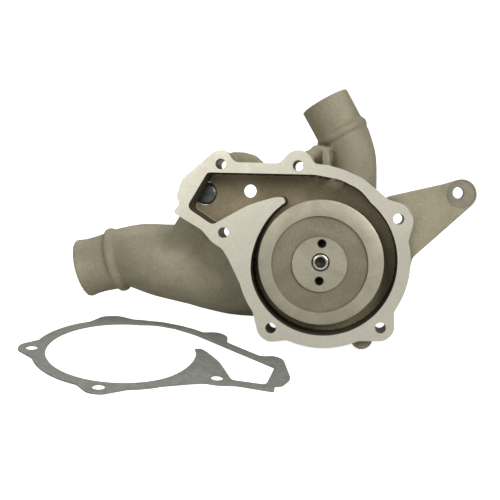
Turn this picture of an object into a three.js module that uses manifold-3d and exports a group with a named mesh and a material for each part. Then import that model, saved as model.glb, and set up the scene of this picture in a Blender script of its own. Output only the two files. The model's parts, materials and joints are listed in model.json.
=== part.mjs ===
// Engine coolant pump: a cast volute housing that bolts to the engine block,
// an impeller on a two-bearing shaft, a mechanical seal, a belt-drive hub and a
// loose paper gasket. Millimetres, +Z up, standing on Z = 0.
//
// The pump is drawn in its own upright frame inside one group: the shaft runs
// along +Y, the machined engine face is the plane Y = 0 and looks towards -Y.
// That group is then leaned onto its three rest points.

import * as THREE from 'three';
import { mergeVertices } from 'three/addons/utils/BufferGeometryUtils.js';
import Module from 'manifold-3d';

const wasm = await Module();
wasm.setup();

// ---------------------------------------------------------------- sizes
const GAP = 0.3; // between pieces that touch

// volute
const TONGUE_ANGLE = 119; // degrees from +X towards +Z
const SPIRAL_END = 409; // degrees, where the spiral meets the outlet throat
const VOLUTE_RADIUS = 54.3; // at the tongue, before the tongue's own dip
const VOLUTE_GROWTH = 7.6; // added over one full turn
const TONGUE_DIP = 1.9; // how far the wall closes in behind the tongue
const TONGUE_DIP_ANGLE = 155;
const TONGUE_DIP_SPREAD = 42; // degrees to either side
const VOLUTE_DEPTH = 26.6;
const FLOOR_WALL = 5.4;
const SIDE_WALL = 5.5;

// engine flange
const FLANGE_THICKNESS = 12;
const FLANGE_RIM = 9.9; // width of the rim around the spiral
const EAR_RADIUS = 10.4;
const BOLT_HOLE_RADIUS = 4.2;
const BOLT_BOSS_DEPTH = 31.5;
const BOSS_RADIUS = 10.4;
const BOLT_ACCESS_RADIUS = 9.5; // room for a nut behind each bolt boss
const BOLT_ACCESS_DEPTH = 10;

// outlet pocket
const PLUG_HOLE_RADIUS = 9.8;
const FLOOR_HOLE_RADIUS = 5.4;

// loose gasket
const GASKET_THICKNESS = 1.0;
const GASKET_TURN = 143.4; // degrees about +Z
const GASKET_PLACE = new THREE.Vector2(-137.9, -57.9); // its shaft centre from the pump's

// necks
const NECK_DEPTH = 55; // Y of both neck axes
const NECK_WALL = 4.5;
const INLET_NECK_RADIUS = 25.3;
const INLET_BEAD = 3.0;
const BYPASS_NECK_RADIUS = 20.6;
const BYPASS_BEAD = 2.0;

// suction chamber and bearing housing
const CHAMBER_RADIUS = 50;
const CHAMBER_WALL = 5.5;
const CHAMBER_LENGTH = 48; // behind the volute floor
const EYE_RADIUS = 31;
const SEAL_NOSE_WALL = 6;
const SEAL_NOSE_SETBACK = 18; // behind the volute floor
const SEAL_LENGTH = 18;
const SEAL_WEB = 6; // wall between the seal and the drain chamber
const DRAIN_RADIUS = 17;
const DRAIN_LENGTH = 10;
const WEEP_RADIUS = 3;
const BEARING_HOUSING_WALL = 11;
const HOUSING_LIP = 1.8; // metal behind the circlip groove
const RIB_THICKNESS = 5;
const BACK_RIB_ANGLES = [50, 130, 310];
const WEB_FRONT = 30;
const WEB_RIB_HEIGHT = 12;
const SKIRT_OVERLAP = 3; // of the skirt with the shell
const SKIRT_DEPTH = 9; // behind the shell

// bearings (20 x 42 x 12)
const BEARING_BORE_RADIUS = 10;
const BEARING_OUTER_RADIUS = 21;
const BEARING_WIDTH = 12;
const BALL_RADIUS = 3.175;
const BALL_COUNT = 9;
const BEARING_SPACING = 5;
const CIRCLIP_THICKNESS = 1.6;
const CIRCLIP_GROOVE_DEPTH = 1.4;

// shaft and drive hub
const SHAFT_TIP_RADIUS = 6.2;
const SHAFT_TIP_LENGTH = 33;
const SEAL_SEAT_RADIUS = 8;
const HUB_JOURNAL_RADIUS = 9;
const COLLAR_STEP = 2;
const COLLAR_LENGTH = 4.2;
const CENTRE_DRILL_RADIUS = 4;
const CENTRE_DRILL_DEPTH = 5;
const HUB_RADIUS = 48.2;
const HUB_THICKNESS = 7.2;
const HUB_BOSS_WALL = 4;
const HUB_RECESS_WALL = 10;
const HUB_STANDOFF = 0.8; // between the housing and the hub's disc
const HUB_SCREW_RADIUS = 4;
const HUB_SCREW_PITCH_RADIUS = 34;
const HUB_SCREW_COUNT = 4;

// impeller
const TONGUE_CLEARANCE = 5.1;
const IMPELLER_FACE = 1.0; // behind the engine face
const IMPELLER_DISC = 6;
const IMPELLER_FLOOR_CLEARANCE = 2;
const IMPELLER_RIM = 11.4; // width of the machined outer ring
const IMPELLER_HUB_FACE_RADIUS = 21.6;
const SEAT_SETBACK = 6.6; // seal seat cup behind the volute floor
const SEAT_CUP_WALL = 2.1;
const IMPELLER_RECESS = 1.6;
const CASTING_SHIFT = new THREE.Vector2(-0.8, -1.6);
const VANE_COUNT = 6;
const VANE_THICKNESS = 4;
const VANE_SWEEP = 55; // degrees
const PULLER_OFFSET = 14.7;
const PULLER_RADIUS = 3.3;
const PULLER_DEPTH = 12;

// Sizes that follow from the ones above.
const SHELL_BACK = VOLUTE_DEPTH + FLOOR_WALL;
const CHAMBER_FRONT = SHELL_BACK - 2;
const CHAMBER_BACK = SHELL_BACK + CHAMBER_LENGTH;
const SEAL_NOSE_FRONT = SHELL_BACK + SEAL_NOSE_SETBACK;
const SEAL_BORE_BACK = SEAL_NOSE_FRONT + SEAL_LENGTH;
const DRAIN_FRONT = SEAL_BORE_BACK + SEAL_WEB;
const FRONT_BEARING_Y = DRAIN_FRONT + DRAIN_LENGTH;
const REAR_BEARING_Y = FRONT_BEARING_Y + BEARING_WIDTH + BEARING_SPACING;
const CIRCLIP_FRONT = REAR_BEARING_Y + BEARING_WIDTH + GAP;
const HOUSING_END = CIRCLIP_FRONT + CIRCLIP_THICKNESS + GAP + HOUSING_LIP;
const HUB_END = HOUSING_END + HUB_STANDOFF + HUB_THICKNESS;
const BEARING_HOUSING_RADIUS = BEARING_OUTER_RADIUS + BEARING_HOUSING_WALL;
const BALL_PITCH_RADIUS = (BEARING_BORE_RADIUS + BEARING_OUTER_RADIUS) / 2;
const SHAFT_TIP_END = IMPELLER_FACE + SHAFT_TIP_LENGTH;
const COLLAR_RADIUS = BEARING_BORE_RADIUS + COLLAR_STEP;
const COLLAR_FRONT = FRONT_BEARING_Y - GAP - COLLAR_LENGTH;
const HUB_BOSS_RADIUS = HUB_JOURNAL_RADIUS + HUB_BOSS_WALL;
const HUB_RECESS_RADIUS = HUB_JOURNAL_RADIUS + HUB_RECESS_WALL;
const SEAL_CLEARANCE = 1.0; // between the shaft and the still seal parts
const SEAT_WALL = 4.8;
const SEAL_INNER = SEAL_SEAT_RADIUS + SEAL_CLEARANCE;
const SEAT_RADIUS = SEAL_INNER + SEAT_WALL;
const SEAL_BORE_RADIUS = SEAL_INNER + 9;
const SEAL_NOSE_RADIUS = SEAL_BORE_RADIUS + SEAL_NOSE_WALL;
const SEAT_CUP_RADIUS = SEAT_RADIUS + SEAT_CUP_WALL;
const SEAT_CUP_FRONT = SHELL_BACK + SEAT_SETBACK;
const IMPELLER_HUB_RADIUS = SEAT_CUP_RADIUS + 2.1;
const IMPELLER_HUB_END = SEAT_CUP_FRONT + 7.4;

const RIM_STEP = 10; // degrees between samples of the spiral
const FINE = 32; // sides of a large round
const COARSE = 16; // sides of a small round

// ---------------------------------------------------------------- materials
function finish(color, roughness, metalness) {
  return new THREE.MeshStandardMaterial({ color, roughness, metalness });
}

const castIron = () => finish(0x96907a, 0.78, 0.55);
const machinedIron = () => finish(0xa09c88, 0.45, 0.8);
const steel = () => finish(0xb4b6b8, 0.3, 0.95);
const darkSteel = () => finish(0x5c5f62, 0.4, 0.9);
const brass = () => finish(0xb59a55, 0.35, 0.9);
const blackRubber = () => finish(0x1c1c1c, 0.85, 0);
const carbon = () => finish(0x2c2d2f, 0.5, 0.1);
const ceramic = () => finish(0xe6e2d6, 0.3, 0);
const paper = () => finish(0x7d7f76, 0.9, 0);

// ---------------------------------------------------------------- solids
function solidOf(geometry) {
  const bare = geometry.clone();
  bare.deleteAttribute('normal');
  bare.deleteAttribute('uv');
  const merged = mergeVertices(bare, 1e-4);
  const index = merged.index.array;
  const triangles = [];
  for (let i = 0; i < index.length; i += 3) {
    const [a, b, c] = [index[i], index[i + 1], index[i + 2]];
    if (a !== b && b !== c && c !== a) triangles.push(a, b, c);
  }
  return new wasm.Manifold(new wasm.Mesh({
    numProp: 3,
    vertProperties: new Float32Array(merged.attributes.position.array),
    triVerts: new Uint32Array(triangles),
  }));
}

function join(...solids) {
  return solids.reduce((sum, solid) => sum.add(solid));
}

function cut(body, ...tools) {
  return tools.reduce((rest, tool) => rest.subtract(tool), body);
}

function geometryOf(solid) {
  const mesh = solid.getMesh();
  const geometry = new THREE.BufferGeometry();
  geometry.setAttribute('position', new THREE.BufferAttribute(mesh.vertProperties, 3));
  geometry.setIndex(new THREE.BufferAttribute(mesh.triVerts, 1));
  geometry.computeVertexNormals();
  return geometry;
}

// Plate with an outline in the XZ plane, from front to back along Y.
function plate(outline, front, back, holes = []) {
  const shape = new THREE.Shape(outline);
  shape.holes = holes.map((hole) => new THREE.Path(hole));
  const depth = back - front;
  const geometry = new THREE.ExtrudeGeometry(shape, { depth, bevelEnabled: false });
  geometry.translate(0, 0, -back);
  geometry.rotateX(Math.PI / 2);
  return solidOf(geometry);
}

// Round bar along Y.
function bar(centre, radius, front, back, sides = COARSE) {
  const geometry = new THREE.CylinderGeometry(radius, radius, back - front, sides);
  geometry.translate(centre.x, (front + back) / 2, centre.y);
  return solidOf(geometry);
}

// Turned body about the shaft axis. The profile lists [radius, y] and runs
// anticlockwise with radius to the right and y up.
function turned(profile, sides = FINE) {
  const points = profile.map(([radius, y]) => new THREE.Vector2(radius, y));
  return solidOf(new THREE.LatheGeometry(points, sides));
}

function ring(inner, outer, front, back, sides = FINE) {
  return turned([[inner, front], [outer, front], [outer, back], [inner, back], [inner, front]], sides);
}

// Tube through round stations; each has a centre, a heading and two half sizes.
function loft(stations, sides = 24) {
  const positions = [];
  const back = new THREE.Vector3(0, 1, 0);
  for (const { centre, heading, across, deep } of stations) {
    const side = new THREE.Vector3().crossVectors(back, heading).normalize();
    for (let i = 0; i < sides; i += 1) {
      const turn = (2 * Math.PI * i) / sides;
      const point = centre.clone();
      point.addScaledVector(side, across * Math.cos(turn));
      point.addScaledVector(back, deep * Math.sin(turn));
      positions.push(point.x, point.y, point.z);
    }
  }
  const first = stations[0].centre;
  const last = stations[stations.length - 1].centre;
  positions.push(first.x, first.y, first.z, last.x, last.y, last.z);
  const firstCap = stations.length * sides;
  const indices = [];
  for (let s = 0; s < stations.length - 1; s += 1) {
    for (let i = 0; i < sides; i += 1) {
      const a = s * sides + i;
      const b = s * sides + ((i + 1) % sides);
      indices.push(a, b, b + sides, a, b + sides, a + sides);
    }
  }
  for (let i = 0; i < sides; i += 1) {
    const next = (i + 1) % sides;
    const end = (stations.length - 1) * sides;
    indices.push(firstCap, next, i, firstCap + 1, end + i, end + next);
  }
  const geometry = new THREE.BufferGeometry();
  geometry.setAttribute('position', new THREE.Float32BufferAttribute(positions, 3));
  geometry.setIndex(indices);
  return solidOf(geometry);
}

// ---------------------------------------------------------------- outlines
const radians = THREE.MathUtils.degToRad;

function polar(radius, degrees) {
  return new THREE.Vector2(radius * Math.cos(radians(degrees)), radius * Math.sin(radians(degrees)));
}

function corner(x, z, fillet = 0) {
  return { at: new THREE.Vector2(x, z), fillet };
}

function voluteRadius(degrees) {
  return VOLUTE_RADIUS + (VOLUTE_GROWTH * (degrees - TONGUE_ANGLE)) / 360;
}

function tongueDip(degrees) {
  const away = Math.min(1, Math.abs(degrees - TONGUE_DIP_ANGLE) / TONGUE_DIP_SPREAD);
  return TONGUE_DIP * Math.cos((away * Math.PI) / 2) ** 2;
}

function spiral(from, to, offset, dip = () => 0) {
  const steps = Math.max(1, Math.round((to - from) / RIM_STEP));
  const points = [];
  for (let i = 0; i <= steps; i += 1) {
    const angle = from + ((to - from) * i) / steps;
    const place = polar(voluteRadius(angle) + offset - dip(angle), angle);
    points.push(corner(place.x, place.y));
  }
  return points;
}

// Corners of a rounded ear about a hole, from the directions its sides face.
function ear(hole, radius, facings) {
  const corners = [];
  for (let i = 0; i < facings.length - 1; i += 1) {
    const half = (facings[i + 1] - facings[i]) / 2;
    const place = polar(radius / Math.cos(radians(half)), facings[i] + half).add(hole);
    corners.push(corner(place.x, place.y, radius));
  }
  return corners;
}

// Polygon whose corners are replaced by arcs of their fillet radius.
function rounded(corners, step = 20) {
  const points = [];
  corners.forEach(({ at, fillet }, i) => {
    const before = corners[(i + corners.length - 1) % corners.length].at;
    const after = corners[(i + 1) % corners.length].at;
    const toBefore = before.clone().sub(at);
    const toAfter = after.clone().sub(at);
    const bend = Math.PI - Math.abs(toBefore.angleTo(toAfter));
    const room = 0.49 * Math.min(toBefore.length(), toAfter.length());
    const run = Math.min(fillet * Math.tan(bend / 2), room);
    if (run < 0.05) {
      points.push(at.clone());
      return;
    }
    const start = at.clone().addScaledVector(toBefore.normalize(), run);
    const end = at.clone().addScaledVector(toAfter.normalize(), run);
    const pieces = Math.max(1, Math.round((bend * 180) / Math.PI / step));
    const curve = new THREE.QuadraticBezierCurve(start, at, end);
    const weight = Math.cos(bend / 2);
    for (let k = 0; k <= pieces; k += 1) {
      const t = k / pieces;
      const [a, b, c] = [(1 - t) ** 2, 2 * t * (1 - t) * weight, t ** 2];
      const total = a + b + c;
      points.push(new THREE.Vector2(
        (a * curve.v0.x + b * curve.v1.x + c * curve.v2.x) / total,
        (a * curve.v0.y + b * curve.v1.y + c * curve.v2.y) / total,
      ));
    }
  });
  return points;
}

// The outlet side is laid out from the root of the tongue.
const tongueRoot = polar(VOLUTE_RADIUS, TONGUE_ANGLE);

function fromTongue(x, z, fillet = 0) {
  return corner(tongueRoot.x + x, tongueRoot.y + z, fillet);
}

function besideVolute(degrees, offset) {
  return polar(voluteRadius(degrees) + offset, degrees);
}

const boltHoles = {
  pocketTop: fromTongue(-50.8, 31.1).at,
  top: fromTongue(10.2, 28.3).at,
  pocketBottom: fromTongue(-49.9, -23.0).at,
  right: besideVolute(388.5, 8.9),
  bottomLeft: besideVolute(232.2, 8.5),
  bottomRight: besideVolute(311.6, 10.5),
};
const punchedHoles = [boltHoles.pocketBottom, boltHoles.bottomLeft, boltHoles.bottomRight];

const TOP_EAR_RADIUS = 11.8;
const plugCentre = fromTongue(-68.6, 8.9).at;
const floorHole = fromTongue(-31.3, 9.8).at;
const foot = { at: new THREE.Vector2(31, -61.5), radius: 8.9 };

function cavityOutline() {
  return rounded([
    ...spiral(TONGUE_ANGLE, SPIRAL_END, 0, tongueDip),
    fromTongue(58.3, 8.2, 25),
    fromTongue(42.7, 16.6, 25),
    fromTongue(22.7, 20.9, 20),
    fromTongue(-61.6, 24.8, 3),
    fromTongue(-78.9, -2.5, 4),
    fromTongue(-58.6, -16.8, 4),
    fromTongue(-29, -1.2, 60),
    fromTongue(-8, 4.2, 20),
    fromTongue(-1.8, 4.2, 1.5),
  ]);
}

function flangeOutline() {
  const rim = FLANGE_RIM;
  return rounded([
    ...ear(boltHoles.right, EAR_RADIUS - 0.5, [-38, 30, 95]),
    ...spiral(403, 415, rim + 0.8),
    fromTongue(60.2, 17, 20),
    fromTongue(45.5, 24.2, 20),
    fromTongue(33.6, 27.9, 8),
    fromTongue(23, 29.4, 4),
    ...ear(boltHoles.top, TOP_EAR_RADIUS, [34, 92, 139]),
    fromTongue(-4.2, 30.4, 6),
    fromTongue(-40.2, 32.1, 7),
    ...ear(boltHoles.pocketTop, EAR_RADIUS + 0.5, [41, 88, 130]),
    fromTongue(-82.6, 19.8, 16),
    fromTongue(-87.2, 5.6, 10),
    fromTongue(-84.4, 0.8, 2),
    fromTongue(-90.2, -6.3, 1.5),
    fromTongue(-67.4, -20.4, 14),
    fromTongue(-59.0, -30.6, 10),
    fromTongue(-51.3, -35.6, 8),
    fromTongue(-46.8, -43.2, 10),
    ...spiral(194, 215, rim),
    ...ear(boltHoles.bottomLeft, EAR_RADIUS, [183, 230, 282]),
    ...spiral(246, 295, rim),
    ...ear(boltHoles.bottomRight, EAR_RADIUS - 0.5, [258, 310, 370]),
    ...spiral(325, 373, rim),
  ]);
}

function shellOutline() {
  return rounded([
    fromTongue(28, 27.2, 30),
    fromTongue(-65.5, 31.4, 8),
    fromTongue(-86, -1.2, 8),
    fromTongue(-58.5, -24.0, 8),
    corner(-30, -6),
    corner(20, 10),
  ]);
}

// Outer wall of the pocket, carried down onto the inlet duct.
function skirtOutline() {
  return rounded([
    fromTongue(-84.3, 1.6, 2),
    fromTongue(-105.3, -31.4, 2),
    fromTongue(-102.3, -64.4, 2),
    fromTongue(-44.3, -64.4, 2),
    fromTongue(-34.3, -18.4, 2),
    fromTongue(-58.3, -6.4, 2),
  ]);
}

// Bracket arm on the right with a bolt lug at its end.
const LUG = { at: new THREE.Vector2(109, 51), radius: 12.3, hole: new THREE.Vector2(107.4, 52.3) };
const LUG_HOLE_RADIUS = 4.5;
const ARM_FRONT = 14;
const ARM_THICKNESS = 12.5;
const SPOT_FACE_RADIUS = 11;
const SPOT_FACE_DEPTH = 0.8;

function armOutline() {
  return rounded([
    corner(50, -10),
    corner(69, -12, 2),
    corner(71.5, 1.6, 8),
    ...ear(LUG.at, LUG.radius, [-49, 27, 102]),
    corner(97, 59.6, 6),
    corner(54, 50.8, 3),
    corner(40, 44),
  ]);
}

// Web between the top ear and the bypass elbow, and the rib that stands on it.
// Block behind the flange between the two upper pocket bolts.
function hangerOutline() {
  return rounded([
    corner(-72, 70),
    corner(-40, 70),
    corner(-43.5, 77.5, 2),
    corner(-52, 85.8, 3),
    corner(-60, 88.3, 3),
    corner(-71, 89, 3),
    corner(-74, 84, 3),
  ]);
}

// Web between the top bolt ear and the bypass elbow, with two ribs in front.
function webOutline() {
  return rounded([
    corner(-15, 66),
    corner(6, 62),
    corner(8, 91),
    corner(-5, 94, 3),
    corner(-8.5, 90, 6),
    corner(-15, 88, 3),
  ]);
}

function webRibOutline() {
  return rounded([corner(2.6, 66), corner(8, 66), corner(8, 85, 4), corner(4.5, 91, 2), corner(1, 88, 2)]);
}

function earRibOutline() {
  return rounded([corner(-11, 66), corner(-3, 66), corner(-4.5, 83, 3), corner(-9, 88, 2), corner(-12, 85, 2)]);
}

// ---------------------------------------------------------------- housing

function station(x, z, tilt, across, deep = across) {
  const heading = new THREE.Vector3(Math.cos(radians(tilt)), 0, Math.sin(radians(tilt)));
  return { centre: new THREE.Vector3(x, NECK_DEPTH, z), heading, across, deep };
}

const INLET_END = station(-209.6, -6.7, 13.5, INLET_NECK_RADIUS);
const INLET_BEAD_DISTANCE = 31.5;
const BEAD_HALF_WIDTH = 4;
const BYPASS_END = station(3.1, 131.4, -62.6, BYPASS_NECK_RADIUS);
const BYPASS_BEAD_DISTANCE = 30.5;

function along(from, distance, across, deep = across) {
  const centre = from.centre.clone().addScaledVector(from.heading, distance);
  return { centre, heading: from.heading, across, deep };
}

function inletStations(shrink) {
  const neck = INLET_NECK_RADIUS - shrink;
  return [
    along(INLET_END, shrink > 0 ? -2 : 0, neck - (shrink > 0 ? 0 : 1)),
    along(INLET_END, 2, neck),
    ...bead(INLET_END, INLET_BEAD_DISTANCE, INLET_NECK_RADIUS, INLET_BEAD, shrink),
    along(INLET_END, INLET_BEAD_DISTANCE + 6, neck + 0.8),
    station(-152, 0.4, 9, 31.3 - shrink),
    station(-129.4, -2.8, 8, 33.8 - shrink, 31 - shrink),
    station(-118, -4.5, 6, 34.5 - shrink, 30 - shrink),
    station(-103, -9, 2, 33.5 - shrink, 28.5 - shrink),
    station(-75, -18, 0, 30 - shrink, 27 - shrink),
    station(-40, -10, 0, 39 - shrink, 25 - shrink),
    station(-26, -6, 0, 36 - shrink, 20 - shrink),
  ];
}

function bypassStations(shrink) {
  const neck = BYPASS_NECK_RADIUS - shrink;
  return [
    along(BYPASS_END, shrink > 0 ? -2 : 0, neck - (shrink > 0 ? 0 : 0.8)),
    along(BYPASS_END, 2, neck),
    ...bead(BYPASS_END, BYPASS_BEAD_DISTANCE, BYPASS_NECK_RADIUS, BYPASS_BEAD, shrink),
    station(20.6, 96, -72, neck + 0.6),
    station(23.6, 83, -82, neck + 1.0),
    station(24.2, 66, -90, neck + 0.8),
    station(24, 36, -90, neck),
  ];
}

// Hose bead on the outside of a neck; the bore has none.
function bead(from, distance, neck, height, shrink) {
  if (shrink > 0) return [];
  return [
    along(from, distance - BEAD_HALF_WIDTH, neck),
    along(from, distance - BEAD_HALF_WIDTH / 2, neck + height),
    along(from, distance + BEAD_HALF_WIDTH / 2, neck + height),
    along(from, distance + BEAD_HALF_WIDTH, neck),
  ];
}

function bearingHousing() {
  return turned([
    [0, CHAMBER_FRONT],
    [CHAMBER_RADIUS, CHAMBER_FRONT],
    [CHAMBER_RADIUS, CHAMBER_BACK - 8],
    [CHAMBER_RADIUS - 6, CHAMBER_BACK],
    [BEARING_HOUSING_RADIUS + 3, CHAMBER_BACK + 6],
    [BEARING_HOUSING_RADIUS, CHAMBER_BACK + 12],
    [BEARING_HOUSING_RADIUS, HOUSING_END],
    [0, HOUSING_END],
  ]);
}

// Coolant space: the eye, and the chamber around the seal nose.
function chamberSpace() {
  const outer = CHAMBER_RADIUS - CHAMBER_WALL;
  return turned([
    [0, VOLUTE_DEPTH - 1],
    [EYE_RADIUS, VOLUTE_DEPTH - 1],
    [EYE_RADIUS, SHELL_BACK],
    [outer, SHELL_BACK + 6],
    [outer, CHAMBER_BACK - 14],
    [SEAL_NOSE_RADIUS + 10, CHAMBER_BACK - 9],
    [SEAL_NOSE_RADIUS, CHAMBER_BACK - 9],
    [SEAL_NOSE_RADIUS, SEAL_NOSE_FRONT],
    [0, SEAL_NOSE_FRONT],
  ]);
}

// Seal seat, drain chamber, bearing bore and circlip groove on the shaft line.

function shaftBore() {
  const bore = BEARING_OUTER_RADIUS + GAP;
  const groove = bore + CIRCLIP_GROOVE_DEPTH;
  return turned([
    [0, SEAL_NOSE_FRONT - 1],
    [SEAL_BORE_RADIUS, SEAL_NOSE_FRONT - 1],
    [SEAL_BORE_RADIUS, SEAL_BORE_BACK],
    [WEB_HOLE_RADIUS, SEAL_BORE_BACK],
    [WEB_HOLE_RADIUS, DRAIN_FRONT],
    [DRAIN_RADIUS, DRAIN_FRONT],
    [DRAIN_RADIUS, FRONT_BEARING_Y - GAP],
    [bore, FRONT_BEARING_Y - GAP],
    [bore, CIRCLIP_FRONT - GAP],
    [groove, CIRCLIP_FRONT - GAP],
    [groove, CIRCLIP_FRONT + CIRCLIP_THICKNESS + GAP],
    [bore, CIRCLIP_FRONT + CIRCLIP_THICKNESS + GAP],
    [bore, HOUSING_END + 1],
    [0, HOUSING_END + 1],
  ]);
}

function weepHole() {
  const length = BEARING_HOUSING_RADIUS + 12;
  const geometry = new THREE.CylinderGeometry(WEEP_RADIUS, WEEP_RADIUS, length, 12);
  geometry.rotateX(Math.PI / 2);
  geometry.translate(0, FRONT_BEARING_Y - GAP - WEEP_RADIUS - 0.5, -length / 2 - DRAIN_RADIUS + 6);
  return solidOf(geometry);
}

// Triangular rib from the suction chamber to the bearing housing.
function backRib(degrees) {
  const outline = new THREE.Shape([
    new THREE.Vector2(BEARING_HOUSING_RADIUS - 4, CHAMBER_BACK - 12),
    new THREE.Vector2(CHAMBER_RADIUS - 1, CHAMBER_BACK - 12),
    new THREE.Vector2(BEARING_HOUSING_RADIUS + 1, HOUSING_END - 4),
    new THREE.Vector2(BEARING_HOUSING_RADIUS - 4, HOUSING_END - 4),
  ]);
  const geometry = new THREE.ExtrudeGeometry(outline, { depth: RIB_THICKNESS, bevelEnabled: false });
  geometry.translate(0, 0, -RIB_THICKNESS / 2);
  geometry.rotateY(radians(-degrees));
  return solidOf(geometry);
}

function makeHousing() {
  const spiralDisc = rounded(spiral(TONGUE_ANGLE, TONGUE_ANGLE + 360 - RIM_STEP, SIDE_WALL));
  const body = join(
    plate(flangeOutline(), 0, FLANGE_THICKNESS),
    plate(spiralDisc, FLANGE_THICKNESS - 1, SHELL_BACK),
    plate(shellOutline(), FLANGE_THICKNESS - 1, SHELL_BACK),
    plate(skirtOutline(), SHELL_BACK - SKIRT_OVERLAP, SHELL_BACK + SKIRT_DEPTH),
    plate(armOutline(), ARM_FRONT, ARM_FRONT + ARM_THICKNESS),
    plate(webOutline(), WEB_FRONT, NECK_DEPTH - 3),
    plate(webRibOutline(), WEB_FRONT - WEB_RIB_HEIGHT, NECK_DEPTH - 10),
    plate(earRibOutline(), WEB_FRONT - WEB_RIB_HEIGHT, NECK_DEPTH - 10),
    plate(hangerOutline(), FLANGE_THICKNESS + 2, SHELL_BACK + 2),
    bar(foot.at, foot.radius, FLANGE_THICKNESS - 1, SHELL_BACK),
    bearingHousing(),
    loft(inletStations(0)),
    loft(bypassStations(0)),
    ...BACK_RIB_ANGLES.map(backRib),
    ...Object.values(boltHoles).map((hole) => bar(hole, BOSS_RADIUS, FLANGE_THICKNESS - 1, BOLT_BOSS_DEPTH)),
  );
  return cut(
    body,
    plate(cavityOutline(), -1, VOLUTE_DEPTH),
    chamberSpace(),
    shaftBore(),
    loft(inletStations(NECK_WALL)),
    loft(bypassStations(NECK_WALL)),
    bar(plugCentre, PLUG_HOLE_RADIUS, VOLUTE_DEPTH - 0.5, NECK_DEPTH, 32),
    bar(floorHole, FLOOR_HOLE_RADIUS, 0, NECK_DEPTH),
    bar(LUG.hole, LUG_HOLE_RADIUS, 0, NECK_DEPTH),
    bar(LUG.at, SPOT_FACE_RADIUS, 0, ARM_FRONT + SPOT_FACE_DEPTH),
    weepHole(),
    ...Object.values(boltHoles).map((hole) => bar(hole, BOLT_HOLE_RADIUS, -1, BOLT_BOSS_DEPTH + 1)),
    ...Object.values(boltHoles).map((hole) => (
      bar(hole, BOLT_ACCESS_RADIUS, BOLT_BOSS_DEPTH, BOLT_BOSS_DEPTH + BOLT_ACCESS_DEPTH)
    )),
  );
}

// Dished steel plug pressed into the pocket floor.
function makeCorePlug() {
  const radius = PLUG_HOLE_RADIUS - GAP;
  const front = VOLUTE_DEPTH + 0.8;
  const plug = new THREE.LatheGeometry([
    [0, front],
    [radius * 0.6, front + 0.3],
    [radius - 0.4, front + 1.2],
    [radius, front + 2],
    [radius, SHELL_BACK - 0.6],
    [radius - 1.2, SHELL_BACK - 0.6],
    [radius - 1.2, front + 2.4],
    [0, front + 1.2],
  ].map(([r, y]) => new THREE.Vector2(r, y)), 32);
  plug.translate(plugCentre.x, 0, plugCentre.y);
  return solidOf(plug);
}

// ---------------------------------------------------------------- rotor
const impellerRadius = VOLUTE_RADIUS - TONGUE_CLEARANCE;
const discBack = IMPELLER_FACE + IMPELLER_DISC;
const vaneBack = VOLUTE_DEPTH - IMPELLER_FLOOR_CLEARANCE;

// Backward-swept blade; its mid line turns as the radius grows.
function vane(start) {
  const steps = 7;
  const inner = IMPELLER_HUB_RADIUS - 2;
  const outer = impellerRadius - 1;
  const side = (way) => Array.from({ length: steps + 1 }, (_, i) => {
    const share = i / steps;
    const radius = inner + (outer - inner) * share;
    const middle = start - VANE_SWEEP * share;
    const half = THREE.MathUtils.radToDeg(VANE_THICKNESS / 2 / radius) * 1.3;
    return polar(radius, middle + way * half);
  });
  return plate([...side(-1), ...side(1).reverse()], discBack - 1, vaneBack);
}

function makeImpeller() {
  const disc = turned([
    [0, IMPELLER_FACE],
    [impellerRadius - 1.2, IMPELLER_FACE],
    [impellerRadius, IMPELLER_FACE + 1],
    [impellerRadius, discBack],
    [IMPELLER_HUB_RADIUS + 3, discBack + 1],
    [IMPELLER_HUB_RADIUS, discBack + 6],
    [IMPELLER_HUB_RADIUS, IMPELLER_HUB_END],
    [0, IMPELLER_HUB_END],
  ]);
  const vanes = Array.from({ length: VANE_COUNT }, (_, i) => vane((360 * i) / VANE_COUNT));
  const recessEnd = IMPELLER_FACE + IMPELLER_RECESS;
  const recess = cut(
    bar(CASTING_SHIFT, impellerRadius - IMPELLER_RIM, -1, recessEnd, FINE),
    bar(CASTING_SHIFT, IMPELLER_HUB_FACE_RADIUS, -2, recessEnd + 1, FINE),
  );
  const bore = turned([
    [0, IMPELLER_FACE - 1],
    [SHAFT_TIP_RADIUS + GAP, IMPELLER_FACE - 1],
    [SHAFT_TIP_RADIUS + GAP, SHAFT_TIP_END - GAP],
    [SEAL_SEAT_RADIUS + GAP, SHAFT_TIP_END - GAP],
    [SEAL_SEAT_RADIUS + GAP, SEAT_CUP_FRONT - GAP],
    [SEAT_CUP_RADIUS + GAP, SEAT_CUP_FRONT - GAP],
    [SEAT_CUP_RADIUS + GAP, IMPELLER_HUB_END + 1],
    [0, IMPELLER_HUB_END + 1],
  ], 24);
  const pullers = [85, 265].map((angle) => (
    bar(polar(PULLER_OFFSET, angle), PULLER_RADIUS, 0, IMPELLER_FACE + PULLER_DEPTH, 16)
  ));
  return cut(join(disc, ...vanes), recess, bore, ...pullers);
}

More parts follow.
